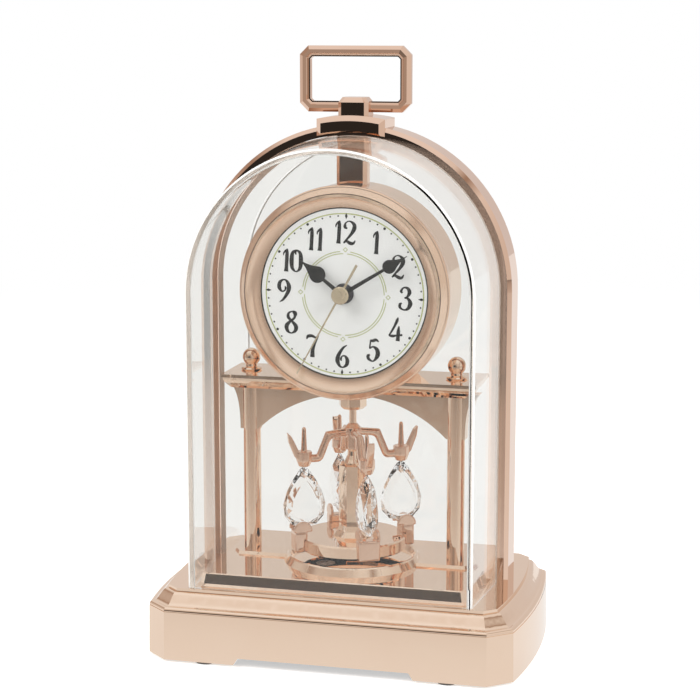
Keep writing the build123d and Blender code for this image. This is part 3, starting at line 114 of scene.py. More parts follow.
class Nodes:
    """A node tree, with short ways to add nodes and to feed their inputs."""

    def __init__(self, tree: NodeTree) -> None:
        """Keeps the tree."""
        self.tree = tree

    @classmethod
    def group(
        cls, name: str, kind: TreeKind, inputs: Mapping[str, Socket], output: Socket, label: str
    ) -> "Nodes":
        """Starts a node group with its sockets.

        Args:
            name: The group's name.
            kind: The group's kind.
            inputs: Kinds of its inputs, by name.
            output: Kind of its output.
            label: Name of its output.

        Returns:
            The group's nodes.
        """
        tree = bpy.data.node_groups.new(name, kind.value)
        for given, socket in inputs.items():
            tree.interface.new_socket(given, in_out="INPUT", socket_type=socket.value)
        tree.interface.new_socket(label, in_out="OUTPUT", socket_type=output.value)
        return cls(tree)

    def feed(self, node: Node, feeds: Feeds) -> None:
        """Feeds inputs of a node.

        Args:
            node: The node.
            feeds: Sockets to link or values to set, by the input's name or place.
        """
        for name, feed in feeds.items():
            if isinstance(feed, NodeSocket):
                self.tree.links.new(feed, node.inputs[name])
            else:
                node.inputs[name].default_value = feed

    def add(self, kind: str, feeds: Optional[Feeds] = None, **options: Any) -> Node:
        """Adds a node.

        Args:
            kind: The node's type.
            feeds: Sockets to link or values to set, by the input's name or place.
            options: The node's own options, which are set first.

        Returns:
            The node.
        """
        node = self.tree.nodes.new(kind)
        for name, value in options.items():
            setattr(node, name, value)
        self.feed(node, feeds or {})
        return node

    def compute(self, operation: str, *numbers: Feed, clamp: bool = False) -> NodeSocket:
        """Adds a calculation.

        Args:
            operation: What it does.
            numbers: The numbers that it takes.
            clamp: Whether its result is held between 0 and 1.

        Returns:
            The socket of its result.
        """
        feeds = dict(enumerate(numbers))
        return self.add("ShaderNodeMath", feeds, operation=operation, use_clamp=clamp).outputs["Value"]

    def spread(
        self, value: Feed, span: Point, low: Feed = 0.0, high: Feed = 1.0, kind: str = "LINEAR"
    ) -> NodeSocket:
        """Maps one span of numbers on another.

        Args:
            value: The number to map.
            span: The numbers that become low and high.
            low: Start of the new span.
            high: End of the new span.
            kind: How the numbers run between the ends.

        Returns:
            The socket of the mapped number.
        """
        feeds = {"Value": value, "From Min": span[0], "From Max": span[1], "To Min": low, "To Max": high}
        return self.add("ShaderNodeMapRange", feeds, interpolation_type=kind).outputs["Result"]

    def mix(self, share: Feed, first: Feed, second: Feed, blend: str = "MIX") -> NodeSocket:
        """Mixes two colours.

        Args:
            share: Share of the second colour.
            first: The first colour.
            second: The second colour.
            blend: How they mix.

        Returns:
            The socket of the mixed colour.
        """
        feeds = {"Factor": share, MixSocket.FIRST.value: first, MixSocket.SECOND.value: second}
        node = self.add("ShaderNodeMix", feeds, data_type="RGBA", blend_type=blend)
        return node.outputs[MixSocket.RESULT.value]

    def mix_shaders(self, share: Feed, first: NodeSocket, second: NodeSocket) -> NodeSocket:
        """Mixes two shaders, with the share of the second one."""
        return self.add("ShaderNodeMixShader", {"Fac": share, 1: first, 2: second}).outputs["Shader"]

    def ramp(self, value: NodeSocket, stops: Sequence[Stop]) -> NodeSocket:
        """Adds a colour ramp.

        Args:
            value: The number that it reads.
            stops: Places from 0 to 1 and their colours.

        Returns:
            The socket of its colour.
        """
        node = self.add("ShaderNodeValToRGB", {"Fac": value})
        steps = node.color_ramp.elements
        while len(steps) < len(stops):
            steps.new(0.5)
        for step, (place, colour) in zip(steps, stops):
            step.position = place
            step.color = (*colour, 1.0)
        return node.outputs["Color"]


class ShaderGroups:
    """Node groups shared by the finishes, each built once.

    Attributes:
        place: The inputs that every group has.
        mottle_detail: Octaves of the gloss noise.
        mottle_span: Stretch of that noise that is spread over the whole drift.
        tone_detail: Octaves of the colour noise.
        tone_span: Stretch of that noise that is spread over the whole drift.
    """

    place: dict[str, Socket] = {"Vector": Socket.VECTOR, "Scale": Socket.NUMBER}
    mottle_detail: float = 5.0
    mottle_span: Point = (0.32, 0.68)
    tone_detail: float = 3.0
    tone_span: Point = (0.35, 0.65)

    def __init__(self) -> None:
        """Builds the three groups."""
        self.mottle = self._mottle()
        self.tone = self._tone()
        self.grain = self._grain()

    @staticmethod
    def _pattern(nodes: Nodes, given: Node, kind: str, **options: Any) -> Node:
        """Adds a texture at the group's Vector and Scale.

        Args:
            nodes: The group's nodes.
            given: The group's input node.
            kind: The texture's type.
            options: The texture's own options.

        Returns:
            The texture node.
        """
        feeds = {name: given.outputs[name] for name in ShaderGroups.place}
        return nodes.add(kind, feeds, **options)

    def _noise(self, nodes: Nodes, given: Node, detail: float) -> NodeSocket:
        """Adds a noise.

        Args:
            nodes: The group's nodes.
            given: The group's input node.
            detail: Octaves of the noise.

        Returns:
            The socket of its value.
        """
        noise = self._pattern(nodes, given, "ShaderNodeTexNoise")
        nodes.feed(noise, {"Detail": detail})
        return noise.outputs["Fac"]

    def _mottle(self) -> NodeTree:
        """Builds a value that drifts between Low and High over the surface.

        Returns:
            The group.
        """
        inputs = {**self.place, "Low": Socket.NUMBER, "High": Socket.NUMBER}
        nodes = Nodes.group("surface_mottle", TreeKind.SHADER, inputs, Socket.NUMBER, "Value")
        given = nodes.add("NodeGroupInput")
        noise = self._noise(nodes, given, self.mottle_detail)
        value = nodes.spread(noise, self.mottle_span, given.outputs["Low"], given.outputs["High"])
        nodes.add("NodeGroupOutput", {"Value": value})
        return nodes.tree

    def _tone(self) -> NodeTree:
        """Builds a colour that drifts between two near tones over the surface.

        Returns:
            The group.
        """
        inputs = {**self.place, "First": Socket.COLOUR, "Second": Socket.COLOUR}
        nodes = Nodes.group("tone_drift", TreeKind.SHADER, inputs, Socket.COLOUR, "Color")
        given = nodes.add("NodeGroupInput")
        share = nodes.spread(self._noise(nodes, given, self.tone_detail), self.tone_span)
        colour = nodes.mix(share, given.outputs["First"], given.outputs["Second"])
        nodes.add("NodeGroupOutput", {"Color": colour})
        return nodes.tree

    def _grain(self) -> NodeTree:
        """Builds the height of a fine pebbled grain.

        Returns:
            The group.
        """
        nodes = Nodes.group("pebbled_grain", TreeKind.SHADER, self.place, Socket.NUMBER, "Height")
        given = nodes.add("NodeGroupInput")
        cells = self._pattern(nodes, given, "ShaderNodeTexVoronoi", feature="SMOOTH_F1")
        nodes.add("NodeGroupOutput", {"Height": cells.outputs["Distance"]})
        return nodes.tree


GROUPS = ShaderGroups()
MADE: dict[str, Material] = {}


@dataclass(frozen=True)
class Finish:
    """A surface finish: its colour drift, gloss and grain.

    Attributes:
        name: The material's name.
        colour: Main colour, linear.
        drift: Second colour that the main one drifts to.
        gloss: Lowest and highest roughness.
        drift_scale: Scale of the colour drift, per metre.
        metallic: Metallic value.
        grain_scale: Scale of the grain, per metre.
        grain_depth: Depth of the grain, in metres.
        coat: Clear coat weight.
        gloss_fineness: Scale of the gloss drift against the colour drift's.
    """

    name: str
    colour: Triple
    drift: Triple
    gloss: Point
    drift_scale: float = 60.0
    metallic: float = 0.0
    grain_scale: float = 900.0
    grain_depth: float = 0.0
    coat: float = 0.0
    gloss_fineness: ClassVar[float] = 2.5

    def material(self) -> Material:
        """Gives the finish's material, built on first use.

        Returns:
            The material.
        """
        if self.name not in MADE:
            MADE[self.name] = self._build()
        return MADE[self.name]

    def _build(self) -> Material:
        """Builds the node tree: drift into colour, mottle into roughness, grain into normal.

        Returns:
            The new material.
        """
        material = bpy.data.materials.new("finish_" + self.name)
        material.use_nodes = True
        nodes = Nodes(material.node_tree)
        shader = nodes.tree.nodes["Principled BSDF"]
        tone = {"First": (*self.colour, 1.0), "Second": (*self.drift, 1.0)}
        roughness = {"Low": self.gloss[0], "High": self.gloss[1]}
        nodes.feed(shader, {
            "Metallic": self.metallic,
            "Coat Weight": self.coat,
            "Base Color": self._effect(nodes, GROUPS.tone, self.drift_scale, tone),
            "Roughness": self._effect(
                nodes, GROUPS.mottle, self.drift_scale * self.gloss_fineness, roughness
            ),
        })
        if self.grain_depth:
            height = self._effect(nodes, GROUPS.grain, self.grain_scale, {})
            bump = nodes.add("ShaderNodeBump", {"Distance": self.grain_depth, "Height": height})
            nodes.feed(shader, {"Normal": bump.outputs["Normal"]})
        return material

    @staticmethod
    def _effect(nodes: Nodes, group: NodeTree, scale: float, values: Feeds) -> NodeSocket:
        """Places a shared group on Object coordinates.

        Args:
            nodes: The material's nodes.
            group: The shared group.
            scale: Scale of the pattern, per metre.
            values: The group's other inputs.

        Returns:
            The socket of the group's output.
        """
        place = nodes.add("ShaderNodeTexCoord").outputs["Object"]
        feeds = {"Vector": place, "Scale": scale, **values}
        return nodes.add("ShaderNodeGroup", feeds, node_tree=group).outputs[0]


@dataclass(frozen=True)
class ClearFinish(Finish):
    """A clear moulding or a cut crystal that lets light through to what it covers.

    Attributes:
        bend: Index of refraction.
        caught_after: Bounces after which a ray is taken to be caught in the wall.
    """

    bend: float = 1.49
    caught_after: float = 5.5

    def _build(self) -> Material:
        """Adds transmission to the finish, and lets shadow rays and caught rays pass straight.

        Returns:
            The new material.
        """
        material = super()._build()
        nodes = Nodes(material.node_tree)
        shader = nodes.tree.nodes["Principled BSDF"]
        nodes.feed(shader, {"Transmission Weight": 1.0, "IOR": self.bend})
        path = nodes.add("ShaderNodeLightPath").outputs
        caught = nodes.compute("GREATER_THAN", path["Ray Depth"], self.caught_after)
        straight = nodes.compute("MAXIMUM", path["Is Shadow Ray"], caught)
        open_air = nodes.add("ShaderNodeBsdfTransparent").outputs["BSDF"]
        mixed = nodes.mix_shaders(straight, shader.outputs["BSDF"], open_air)
        nodes.feed(nodes.tree.nodes["Material Output"], {"Surface": mixed})
        return material


class Finishes:
    """Every finish of the clock, by the record's slot, with a few that only the scene has.

    Attributes:
        own: Finishes of the nodes that differ from the others of their slot: the bezel's satin, and a darker
            copy of rose gold that paints shade.
    """

    rose_gold = Finish("rose_gold", (0.87, 0.68, 0.54), (0.875, 0.69, 0.55), (0.015, 0.04), metallic=1.0)
    rose_gold_metal = Finish(
        "rose_gold_metal", (0.86, 0.66, 0.52), (0.87, 0.67, 0.53), (0.01, 0.03), metallic=1.0
    )
    mirror_floor = Finish(
        "mirror_floor", (0.87, 0.69, 0.56), (0.88, 0.70, 0.57), (0.0, 0.015), metallic=1.0
    )
    # A darker copy of rose_gold for parts of the same plating: painted shade for the darker reflections
    # these parts show.
    rose_gold_deep = Finish(
        "rose_gold_deep", (0.77, 0.55, 0.43), (0.785, 0.565, 0.445), (0.015, 0.04), metallic=1.0
    )
    rose_gold_satin = Finish(
        "rose_gold_satin", (0.93, 0.71, 0.56), (0.94, 0.72, 0.57), (0.2, 0.25), metallic=1.0, coat=0.3
    )
    clear_cover = ClearFinish("clear_cover", (0.95, 0.95, 0.935), (0.953, 0.953, 0.938), (0.0, 0.012))
    # Opaque pale finish of the covers' rounded corners: a painted highlight line where the real edge is
    # clear.
    clear_edge = Finish("clear_edge", (0.92, 0.91, 0.88), (0.94, 0.93, 0.90), (0.15, 0.25))
    # Opaque beige finish of the covers' cut rims: a painted reflection where the real rim is clear.
    cover_rim = Finish("cover_rim", (0.86, 0.78, 0.70), (0.88, 0.80, 0.72), (0.45, 0.55))
    crystal = ClearFinish(
        "crystal", (0.99, 0.99, 0.99), (0.985, 0.99, 0.99), (0.0, 0.004), bend=1.55, caught_after=7.5
    )
    dial_white = Finish(
        "dial_white", (0.885, 0.895, 0.89), (0.90, 0.905, 0.90), (0.38, 0.5),
        grain_scale=4000.0, grain_depth=4e-6,
    )
    dial_black = Finish("dial_black", (0.016, 0.017, 0.016), (0.022, 0.022, 0.021), (0.4, 0.55))
    dial_gilt = Finish("dial_gilt", (0.50, 0.54, 0.24), (0.54, 0.57, 0.28), (0.35, 0.5), metallic=0.1)
    hand_black = Finish("hand_black", (0.018, 0.019, 0.018), (0.024, 0.024, 0.023), (0.28, 0.4), coat=0.2)
    hand_gold = Finish("hand_gold", (0.60, 0.50, 0.35), (0.63, 0.53, 0.38), (0.2, 0.3), metallic=0.35)
    dark_plastic = Finish(
        "dark_plastic", (0.035, 0.035, 0.036), (0.045, 0.045, 0.045), (0.42, 0.6),
        grain_scale=2500.0, grain_depth=2e-5,
    )
    movement_plastic = Finish(
        "movement_plastic", (0.07, 0.07, 0.075), (0.085, 0.085, 0.09), (0.4, 0.55),
        grain_scale=3000.0, grain_depth=1e-5,
    )
    gear_nylon = Finish("gear_nylon", (0.80, 0.77, 0.68), (0.84, 0.81, 0.73), (0.4, 0.55))
    steel = Finish("steel", (0.58, 0.58, 0.58), (0.64, 0.64, 0.63), (0.2, 0.36), metallic=1.0)
    rubber = Finish(
        "rubber", (0.11, 0.10, 0.095), (0.13, 0.12, 0.11), (0.7, 0.88), grain_scale=3000.0, grain_depth=3e-5
    )
    cell_wrap = Finish("cell_wrap", (0.09, 0.09, 0.10), (0.11, 0.11, 0.12), (0.22, 0.34), coat=0.4)
    board_green = Finish("board_green", (0.03, 0.17, 0.07), (0.04, 0.21, 0.09), (0.3, 0.45))
    copper = Finish("copper", (0.66, 0.30, 0.15), (0.74, 0.36, 0.19), (0.2, 0.35), metallic=1.0)
    magnet = Finish("magnet", (0.42, 0.42, 0.44), (0.48, 0.48, 0.5), (0.2, 0.35), metallic=1.0)

    # Frame parts given the darker rose gold copy carry painted shade.
    own: dict[str, Finish] = {
        "arch_frame": rose_gold_deep, "keystone": rose_gold_deep, "handle_post": rose_gold_deep,
        "carry_handle": rose_gold_deep, "head_strap": rose_gold_deep, "bezel": rose_gold_satin,
    }

    @classmethod
    def dress_frame(cls) -> None:
        """Gives every frame node its own finish, or else the finish of its slot."""
        for part in frame["record"]["subparts"]:
            finish: Finish = cls.own.get(part["node"], getattr(cls, part["material_slot"]))
            for slot in frame["nodes"][part["node"]].material_slots:
                slot.material = finish.material()


def link_object(name: str, data: ID) -> Object:
    """Makes an object and links it to the scene.

    Args:
        name: The object's name.
        data: Its mesh, lamp or camera.

    Returns:
        The object, at the origin.
    """
    thing = bpy.data.objects.new(name, data)
    bpy.context.scene.collection.objects.link(thing)
    return thing


def plain_mesh(grown: Object) -> Mesh:
    """Keeps what an object's modifiers make as a plain mesh, and removes the object.

    Args:
        grown: The object.

    Returns:
        The mesh.
    """
    bpy.context.view_layer.update()
    mesh = bpy.data.meshes.new_from_object(grown.evaluated_get(bpy.context.evaluated_depsgraph_get()))
    bpy.data.objects.remove(grown)
    return mesh


def bridge(bm: BMesh, near: Sequence[BMVert], far: Sequence[BMVert], index: int = 0) -> None:
    """Joins two rows of points with a band of faces.

    Args:
        bm: The bmesh to add to.
        near: One row.
        far: The other row.
        index: The faces' material index.
    """
    for corners in zip(near, near[1:], far[1:], far):
        bm.faces.new(corners).material_index = index


def mesh_piece(name: str, bm: BMesh, finish: Finish, smooth: bool = False) -> Object:
    """Turns a bmesh into a finished piece at the origin.

    Args:
        name: The piece's name.
        bm: Its geometry, freed here.
        finish: Its finish.
        smooth: Whether its faces are shaded smooth.

    Returns:
        The piece, linked to the scene.
    """
    mesh = bpy.data.meshes.new(name)
    bm.to_mesh(mesh)
    bm.free()
    for face in mesh.polygons:
        face.use_smooth = smooth
    mesh.materials.append(finish.material())
    return link_object(name, mesh)


def settle(piece: Object, body: Body, slot: str, *nodes: str) -> None:
    """Rides a piece on its body and hides the frame nodes that it stands for.

    Args:
        piece: The finished piece.
        body: The body that it rides on.
        slot: The record's slot; not used.
        nodes: Frame nodes that the piece stands for.
    """
    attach(piece, body.value)
    if nodes:
        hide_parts(*nodes)
    LOG.info("piece %s on %s: %d faces", piece.name, body.value, len(piece.data.polygons))


class CoverSkin(IntEnum):
    """Material indices of a clear cover's faces."""

    CLEAR = 0
    EDGE = 1
    RIM = 2


@dataclass
class ClearCover:
    """One arched clear cover: a flat face and tapering walls, open at the frame and at the floor.

    The rounded corner between the face and the walls is drawn opaque and pale: a painted highlight line, not
    clear plastic.

    Attributes:
        node: The frame node that it stands for.
        body: The body that it rides on.
        wall: Wall thickness.
        corner: Radius of the outer corner at the flat face.
        inner_corner: Radius of the inner corner.
        lift: Gap under the cover and at its open rim, so that its faces lie on nothing.
        touch: Distance within which a point of the node lies on the flat face.
        leg_steps: Rings of points up each leg.
        arc_steps: Rings of points round the arch.
        round_steps: Bands of faces round each corner.
        wall_steps: Bands of faces from the rim to the corner.
        hard_turn: Edges that turn by more than this angle stay hard.
    """

    node: str
    body: Body
    wall: float = 2.2 * MM
    corner: float = 0.8 * MM
    inner_corner: float = 0.5 * MM
    lift: float = 0.04 * MM
    touch: float = 0.1 * MM
    leg_steps: int = 6
    arc_steps: int = 96
    round_steps: int = 6
    wall_steps: int = 2
    hard_turn: float = math.radians(35)

    def __post_init__(self) -> None:
        """Reads the cover's place from the frame."""
        low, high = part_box(self.node)
        self.floor = low.z + self.lift
        self.open_half = high.x
        self.centre = high.z - high.x
        opens_back = low.y < 0
        self.way = 1.0 if opens_back else -1.0
        self.y_face = low.y if opens_back else high.y
        self.y_open = (high.y if opens_back else low.y) - self.way * self.lift

    def face_half(self) -> float:
        """The half width of the flat face, read from the node's points there."""
        points = frame["nodes"][self.node].data.vertices
        return max(p.co.x for p in points if abs(p.co.y - self.y_face) < self.touch)

    def path(self, half: float, y: float) -> list[Vector]:
        """Sets out points up one leg, round the arch and down the other.

        Args:
            half: Half width of the arch.
            y: Depth of the section.

        Returns:
            The points, from the lower left to the lower right.
        """
        rise = self.centre - self.floor
        left = [Vector((-half, y, self.floor + rise * k / self.leg_steps)) for k in range(self.leg_steps)]
        arch = []
        for k in range(self.arc_steps + 1):
            angle = math.pi * (1 - k / self.arc_steps)
            arch.append(Vector((half * math.cos(angle), y, self.centre + half * math.sin(angle))))
        right = [Vector((-p.x, p.y, p.z)) for p in reversed(left)]
        return left + arch + right

    def sections(self, half: float, y_face: float, radius: float, slope: float) -> list[Point]:
        """Sets out half widths and depths from the open rim to the flat face, round its corner.

        Args:
            half: Half width of the wall where it would meet the face.
            y_face: Depth of the face.
            radius: Corner radius.
            slope: Half width gained for each metre towards the open rim.

        Returns:
            Pairs of half width and depth.
        """
        made = []
        for k in range(self.wall_steps):
            run = abs(self.y_open - y_face) * (1 - k / self.wall_steps)
            made.append((half + slope * run, y_face + self.way * run))
        core = half + slope * radius - radius
        for k in range(self.round_steps + 1):
            turn = math.pi / 2 * k / self.round_steps
            made.append((core + radius * math.cos(turn), y_face + self.way * radius * (1 - math.sin(turn))))
        return made

    def build(self) -> Object:
        """Builds the shell: outer skin, inner skin, both faces, the rim and the foot.

        Returns:
            The finished cover.
        """
        bm = bmesh.new()
        half = self.face_half()
        slope = (self.open_half - half) / abs(self.y_open - self.y_face)
        inner_face = self.y_face + self.way * self.wall
        inner_half = half + slope * self.wall - self.wall
        outer = self._skin(bm, self.sections(half, self.y_face, self.corner, slope))
        inner = self._skin(bm, self.sections(inner_half, inner_face, self.inner_corner, slope))
        # The rim faces take the opaque beige painted reflection.
        bridge(bm, outer[0], inner[0], CoverSkin.RIM.value)
        foot = [ring[0] for ring in outer] + [ring[-1] for ring in reversed(outer)]
        foot += [ring[-1] for ring in inner] + [ring[0] for ring in reversed(inner)]
        bm.faces.new(foot)
        bmesh.ops.recalc_face_normals(bm, faces=bm.faces)
        piece = mesh_piece(self.node + "_clear", bm, Finishes.clear_cover, smooth=True)
        # The corner faces take the painted edge highlight, and the rim faces the painted beige rim
        # reflection.
        for finish in (Finishes.clear_edge, Finishes.cover_rim):
            piece.data.materials.append(finish.material())
        piece.data.set_sharp_from_angle(angle=self.hard_turn)
        settle(piece, self.body, "clear_cover", self.node)
        return piece

    def _skin(self, bm: BMesh, sections: Sequence[Point]) -> list[list[BMVert]]:
        """Builds one skin of the cover, closed at its flat face.

        Args:
            bm: The bmesh to add to.
            sections: Half widths and depths from the rim to the face.

        Returns:
            The rings of points, from the rim to the face.
        """
        rings = [[bm.verts.new(p) for p in self.path(half, y)] for half, y in sections]
        for step, (near, far) in enumerate(zip(rings, rings[1:])):
            # The bands round the corner take the painted edge highlight.
            skin = CoverSkin.CLEAR if step < self.wall_steps else CoverSkin.EDGE
            bridge(bm, near, far, skin.value)
        bm.faces.new(rings[-1])
        return rings


@dataclass
class Crystal:
    """One cut crystal: a pear outline with a flat table on both faces and a rim of triangle facets.

    Attributes:
        node: The frame node that it stands for.
        turn: Its arm's turn about the upright axis, in degrees.
        facets: Facets round the rim on each face.
        table: Size of the flat table against the outline.
        girdle: Thickness at the outline.
        half_width: Half of its width.
        thickness: Thickness between the tables.
        top: Height of its upper tip.
        bottom: Height of its lower end.
        radius: Distance of its middle from the pendulum's axis.
        middle: Share of the height, from the top, that the table closes in on.
        shoulder: Fullness of the outline at its upper tip.
        fullness: Drawn width of the outline against the half width.
        pear: Power by which the outline fills out on the way down.
    """

    node: str
    turn: float
    facets: int = 14
    table: float = 0.66
    girdle: float = 0.5 * MM
    half_width: float = 8.9 * MM
    thickness: float = 6.2 * MM
    top: float = 74.1 * MM
    bottom: float = 48.4 * MM
    radius: float = 20.6 * MM
    middle: float = 0.62
    shoulder: float = 0.25
    fullness: float = 1.32
    pear: float = 0.75

    def outline(self, share: float) -> Point:
        """Gives a point of the pear outline.

        Args:
            share: Place round the outline, from 0 at the top, clockwise to 1.

        Returns:
            Distance across and share of the height from the top.
        """
        angle = 2 * math.pi * share
        down = (1 - math.cos(angle)) / 2
        lean = self.shoulder + (1 - self.shoulder) * down ** self.pear
        return math.sin(angle) * lean * self.half_width * self.fullness, down

    def ring(self, bm: BMesh, scale: float, depth: float, shift: float) -> list[BMVert]:
        """Adds a ring of points of the outline.

        Args:
            bm: The bmesh to add to.
            scale: Size against the outline.
            depth: Distance from the middle plane.
            shift: Shift round the outline, in facets.

        Returns:
            The ring.
        """
        height = self.top - self.bottom
        made = []
        for k in range(self.facets):
            across, down = self.outline((k + shift) / self.facets)
            z = self.top - height * (self.middle + (down - self.middle) * scale)
            made.append(bm.verts.new((self.radius + across * scale, depth, z)))
        return made

    def build(self) -> Object:
        """Builds the tables, the facets and the girdle.

        Returns:
            The finished crystal.
        """
        bm = bmesh.new()
        rims = []
        for side in (-1, 1):
            rim = self.ring(bm, scale=1.0, depth=side * self.girdle / 2, shift=0.0)
            table = self.ring(bm, scale=self.table, depth=side * self.thickness / 2, shift=0.5)
            bm.faces.new(table)
            for k in range(self.facets):
                after = (k + 1) % self.facets
                bm.faces.new((rim[k], rim[after], table[k]))
                bm.faces.new((rim[after], table[after], table[k]))
            rims.append([*rim, rim[0]])
        bridge(bm, *rims)
        bmesh.ops.recalc_face_normals(bm, faces=bm.faces)
        bm.transform(Matrix.Rotation(math.radians(self.turn), 4, "Z"))
        piece = mesh_piece(self.node + "_cut", bm, Finishes.crystal)
        settle(piece, Body.PENDULUM, "crystal", self.node)
        return piece


@dataclass
class CastPiece:
    """A small cast and plated piece: the frame's own shape with the soft edges that casting leaves.

    Attributes:
        node: The frame node that it stands for.
        body: The body that it rides on.
        slot: The record's slot.
        finish: Its finish.
        grid: Size of the skin's faces.
        merge: Distance within which the node's points are one.
        rounds: Passes that soften the edges.
    """

    node: str
    body: Body
    slot: str
    finish: Finish
    grid: float = 0.22 * MM
    merge: float = 0.0022 * MM
    rounds: int = 10

    def build(self) -> Object:
        """Skins a merged copy of the node and softens its edges.

        Returns:
            The finished piece.
        """
        bm = bmesh.new()
        bm.from_mesh(frame["nodes"][self.node].data)
        bmesh.ops.remove_doubles(bm, verts=bm.verts, dist=self.merge)
        rough = mesh_piece(self.node + "_rough", bm, self.finish)
        skin = rough.modifiers.new("skin", "REMESH")
        skin.mode = "VOXEL"
        skin.voxel_size = self.grid
        rough.modifiers.new("soften", "SMOOTH").iterations = self.rounds
        made = bmesh.new()
        made.from_mesh(plain_mesh(rough))
        piece = mesh_piece(self.node + "_cast", made, self.finish, smooth=True)
        settle(piece, self.body, self.slot, self.node)
        return piece


class Digit(Enum):
    """Dial digits as brush strokes: across, up and width, in shares of the digit's height."""

    ZERO = (
        ((0.0, 0.47, 0.05), (0.17, 0.33, 0.13), (0.21, 0.0, 0.17), (0.17, -0.33, 0.13),
         (0.0, -0.48, 0.05), (-0.17, -0.33, 0.13), (-0.21, 0.0, 0.17), (-0.17, 0.33, 0.13),
         (0.0, 0.47, 0.05)),
        ((0.0, 0.46, 0.05), (-0.04, 0.36, 0.08), (-0.02, 0.26, 0.04)),
    )
    ONE = (
        ((0.04, 0.50, 0.05), (0.04, 0.32, 0.13), (0.03, 0.0, 0.14), (0.02, -0.34, 0.14),
         (0.01, -0.50, 0.18)),
        ((0.05, 0.48, 0.05), (-0.04, 0.40, 0.07), (-0.11, 0.30, 0.06), (-0.12, 0.20, 0.03)),
    )
    TWO = (
        ((-0.10, 0.16, 0.05), (-0.20, 0.24, 0.12), (-0.17, 0.41, 0.06), (0.0, 0.49, 0.05),
         (0.19, 0.37, 0.13), (0.21, 0.18, 0.16), (0.07, -0.08, 0.11), (-0.14, -0.33, 0.07),
         (-0.25, -0.46, 0.05)),
        ((-0.25, -0.46, 0.06), (-0.12, -0.38, 0.09), (0.04, -0.46, 0.13), (0.18, -0.46, 0.10),
         (0.27, -0.33, 0.04)),
    )
    THREE = (
        ((-0.13, 0.24, 0.06), (-0.19, 0.32, 0.10), (-0.08, 0.47, 0.06), (0.10, 0.45, 0.11),
         (0.18, 0.28, 0.15), (0.09, 0.09, 0.08), (-0.04, 0.03, 0.05)),
        ((-0.04, 0.04, 0.05), (0.13, 0.0, 0.10), (0.23, -0.20, 0.17), (0.14, -0.42, 0.12),
         (-0.04, -0.49, 0.06), (-0.21, -0.40, 0.10), (-0.22, -0.26, 0.11), (-0.14, -0.20, 0.05)),
    )
    FOUR = (
        ((0.08, 0.52, 0.04), (0.04, 0.38, 0.11), (-0.07, 0.12, 0.09), (-0.23, -0.18, 0.07),
         (-0.31, -0.30, 0.05)),
        ((-0.31, -0.29, 0.06), (-0.14, -0.31, 0.11), (0.06, -0.27, 0.06), (0.29, -0.24, 0.09)),
        ((0.13, 0.14, 0.04), (0.11, -0.08, 0.13), (0.10, -0.36, 0.14), (0.09, -0.52, 0.16)),
    )
    FIVE = (
        ((-0.12, 0.44, 0.05), (-0.02, 0.41, 0.11), (0.12, 0.46, 0.11), (0.25, 0.38, 0.04)),
        ((-0.11, 0.45, 0.06), (-0.13, 0.26, 0.06), (-0.15, 0.06, 0.06)),
        ((-0.15, 0.06, 0.05), (0.0, 0.15, 0.07), (0.18, 0.03, 0.15), (0.21, -0.22, 0.17),
         (0.03, -0.48, 0.06), (-0.18, -0.40, 0.11), (-0.21, -0.26, 0.12), (-0.13, -0.20, 0.05)),
    )
    SIX = (
        ((0.19, 0.50, 0.03), (0.02, 0.37, 0.09), (-0.17, 0.06, 0.14), (-0.22, -0.20, 0.17),
         (-0.12, -0.43, 0.10), (0.03, -0.49, 0.06), (0.19, -0.37, 0.13), (0.22, -0.15, 0.15),
         (0.10, 0.02, 0.07), (-0.03, -0.02, 0.06), (-0.07, -0.14, 0.08), (-0.03, -0.21, 0.03)),
    )
    SEVEN = (
        ((-0.28, 0.28, 0.04), (-0.22, 0.41, 0.12), (-0.04, 0.44, 0.11), (0.12, 0.38, 0.07),
         (0.27, 0.48, 0.04)),
        ((0.26, 0.47, 0.04), (0.12, 0.16, 0.08), (0.01, -0.16, 0.14), (0.0, -0.50, 0.17)),
    )
    EIGHT = (
        ((0.02, 0.05, 0.08), (-0.14, 0.20, 0.12), (-0.13, 0.38, 0.09), (0.02, 0.46, 0.05),
         (0.15, 0.34, 0.11), (0.12, 0.17, 0.09), (-0.06, 0.02, 0.10), (-0.21, -0.18, 0.16),
         (-0.16, -0.40, 0.12), (0.01, -0.49, 0.05), (0.18, -0.38, 0.13), (0.21, -0.18, 0.16),
         (0.02, 0.05, 0.08)),
        ((0.04, 0.50, 0.03), (0.19, 0.44, 0.07), (0.24, 0.30, 0.04)),
    )
    NINE = tuple(tuple((-x, -y, w) for x, y, w in stroke) for stroke in SIX)


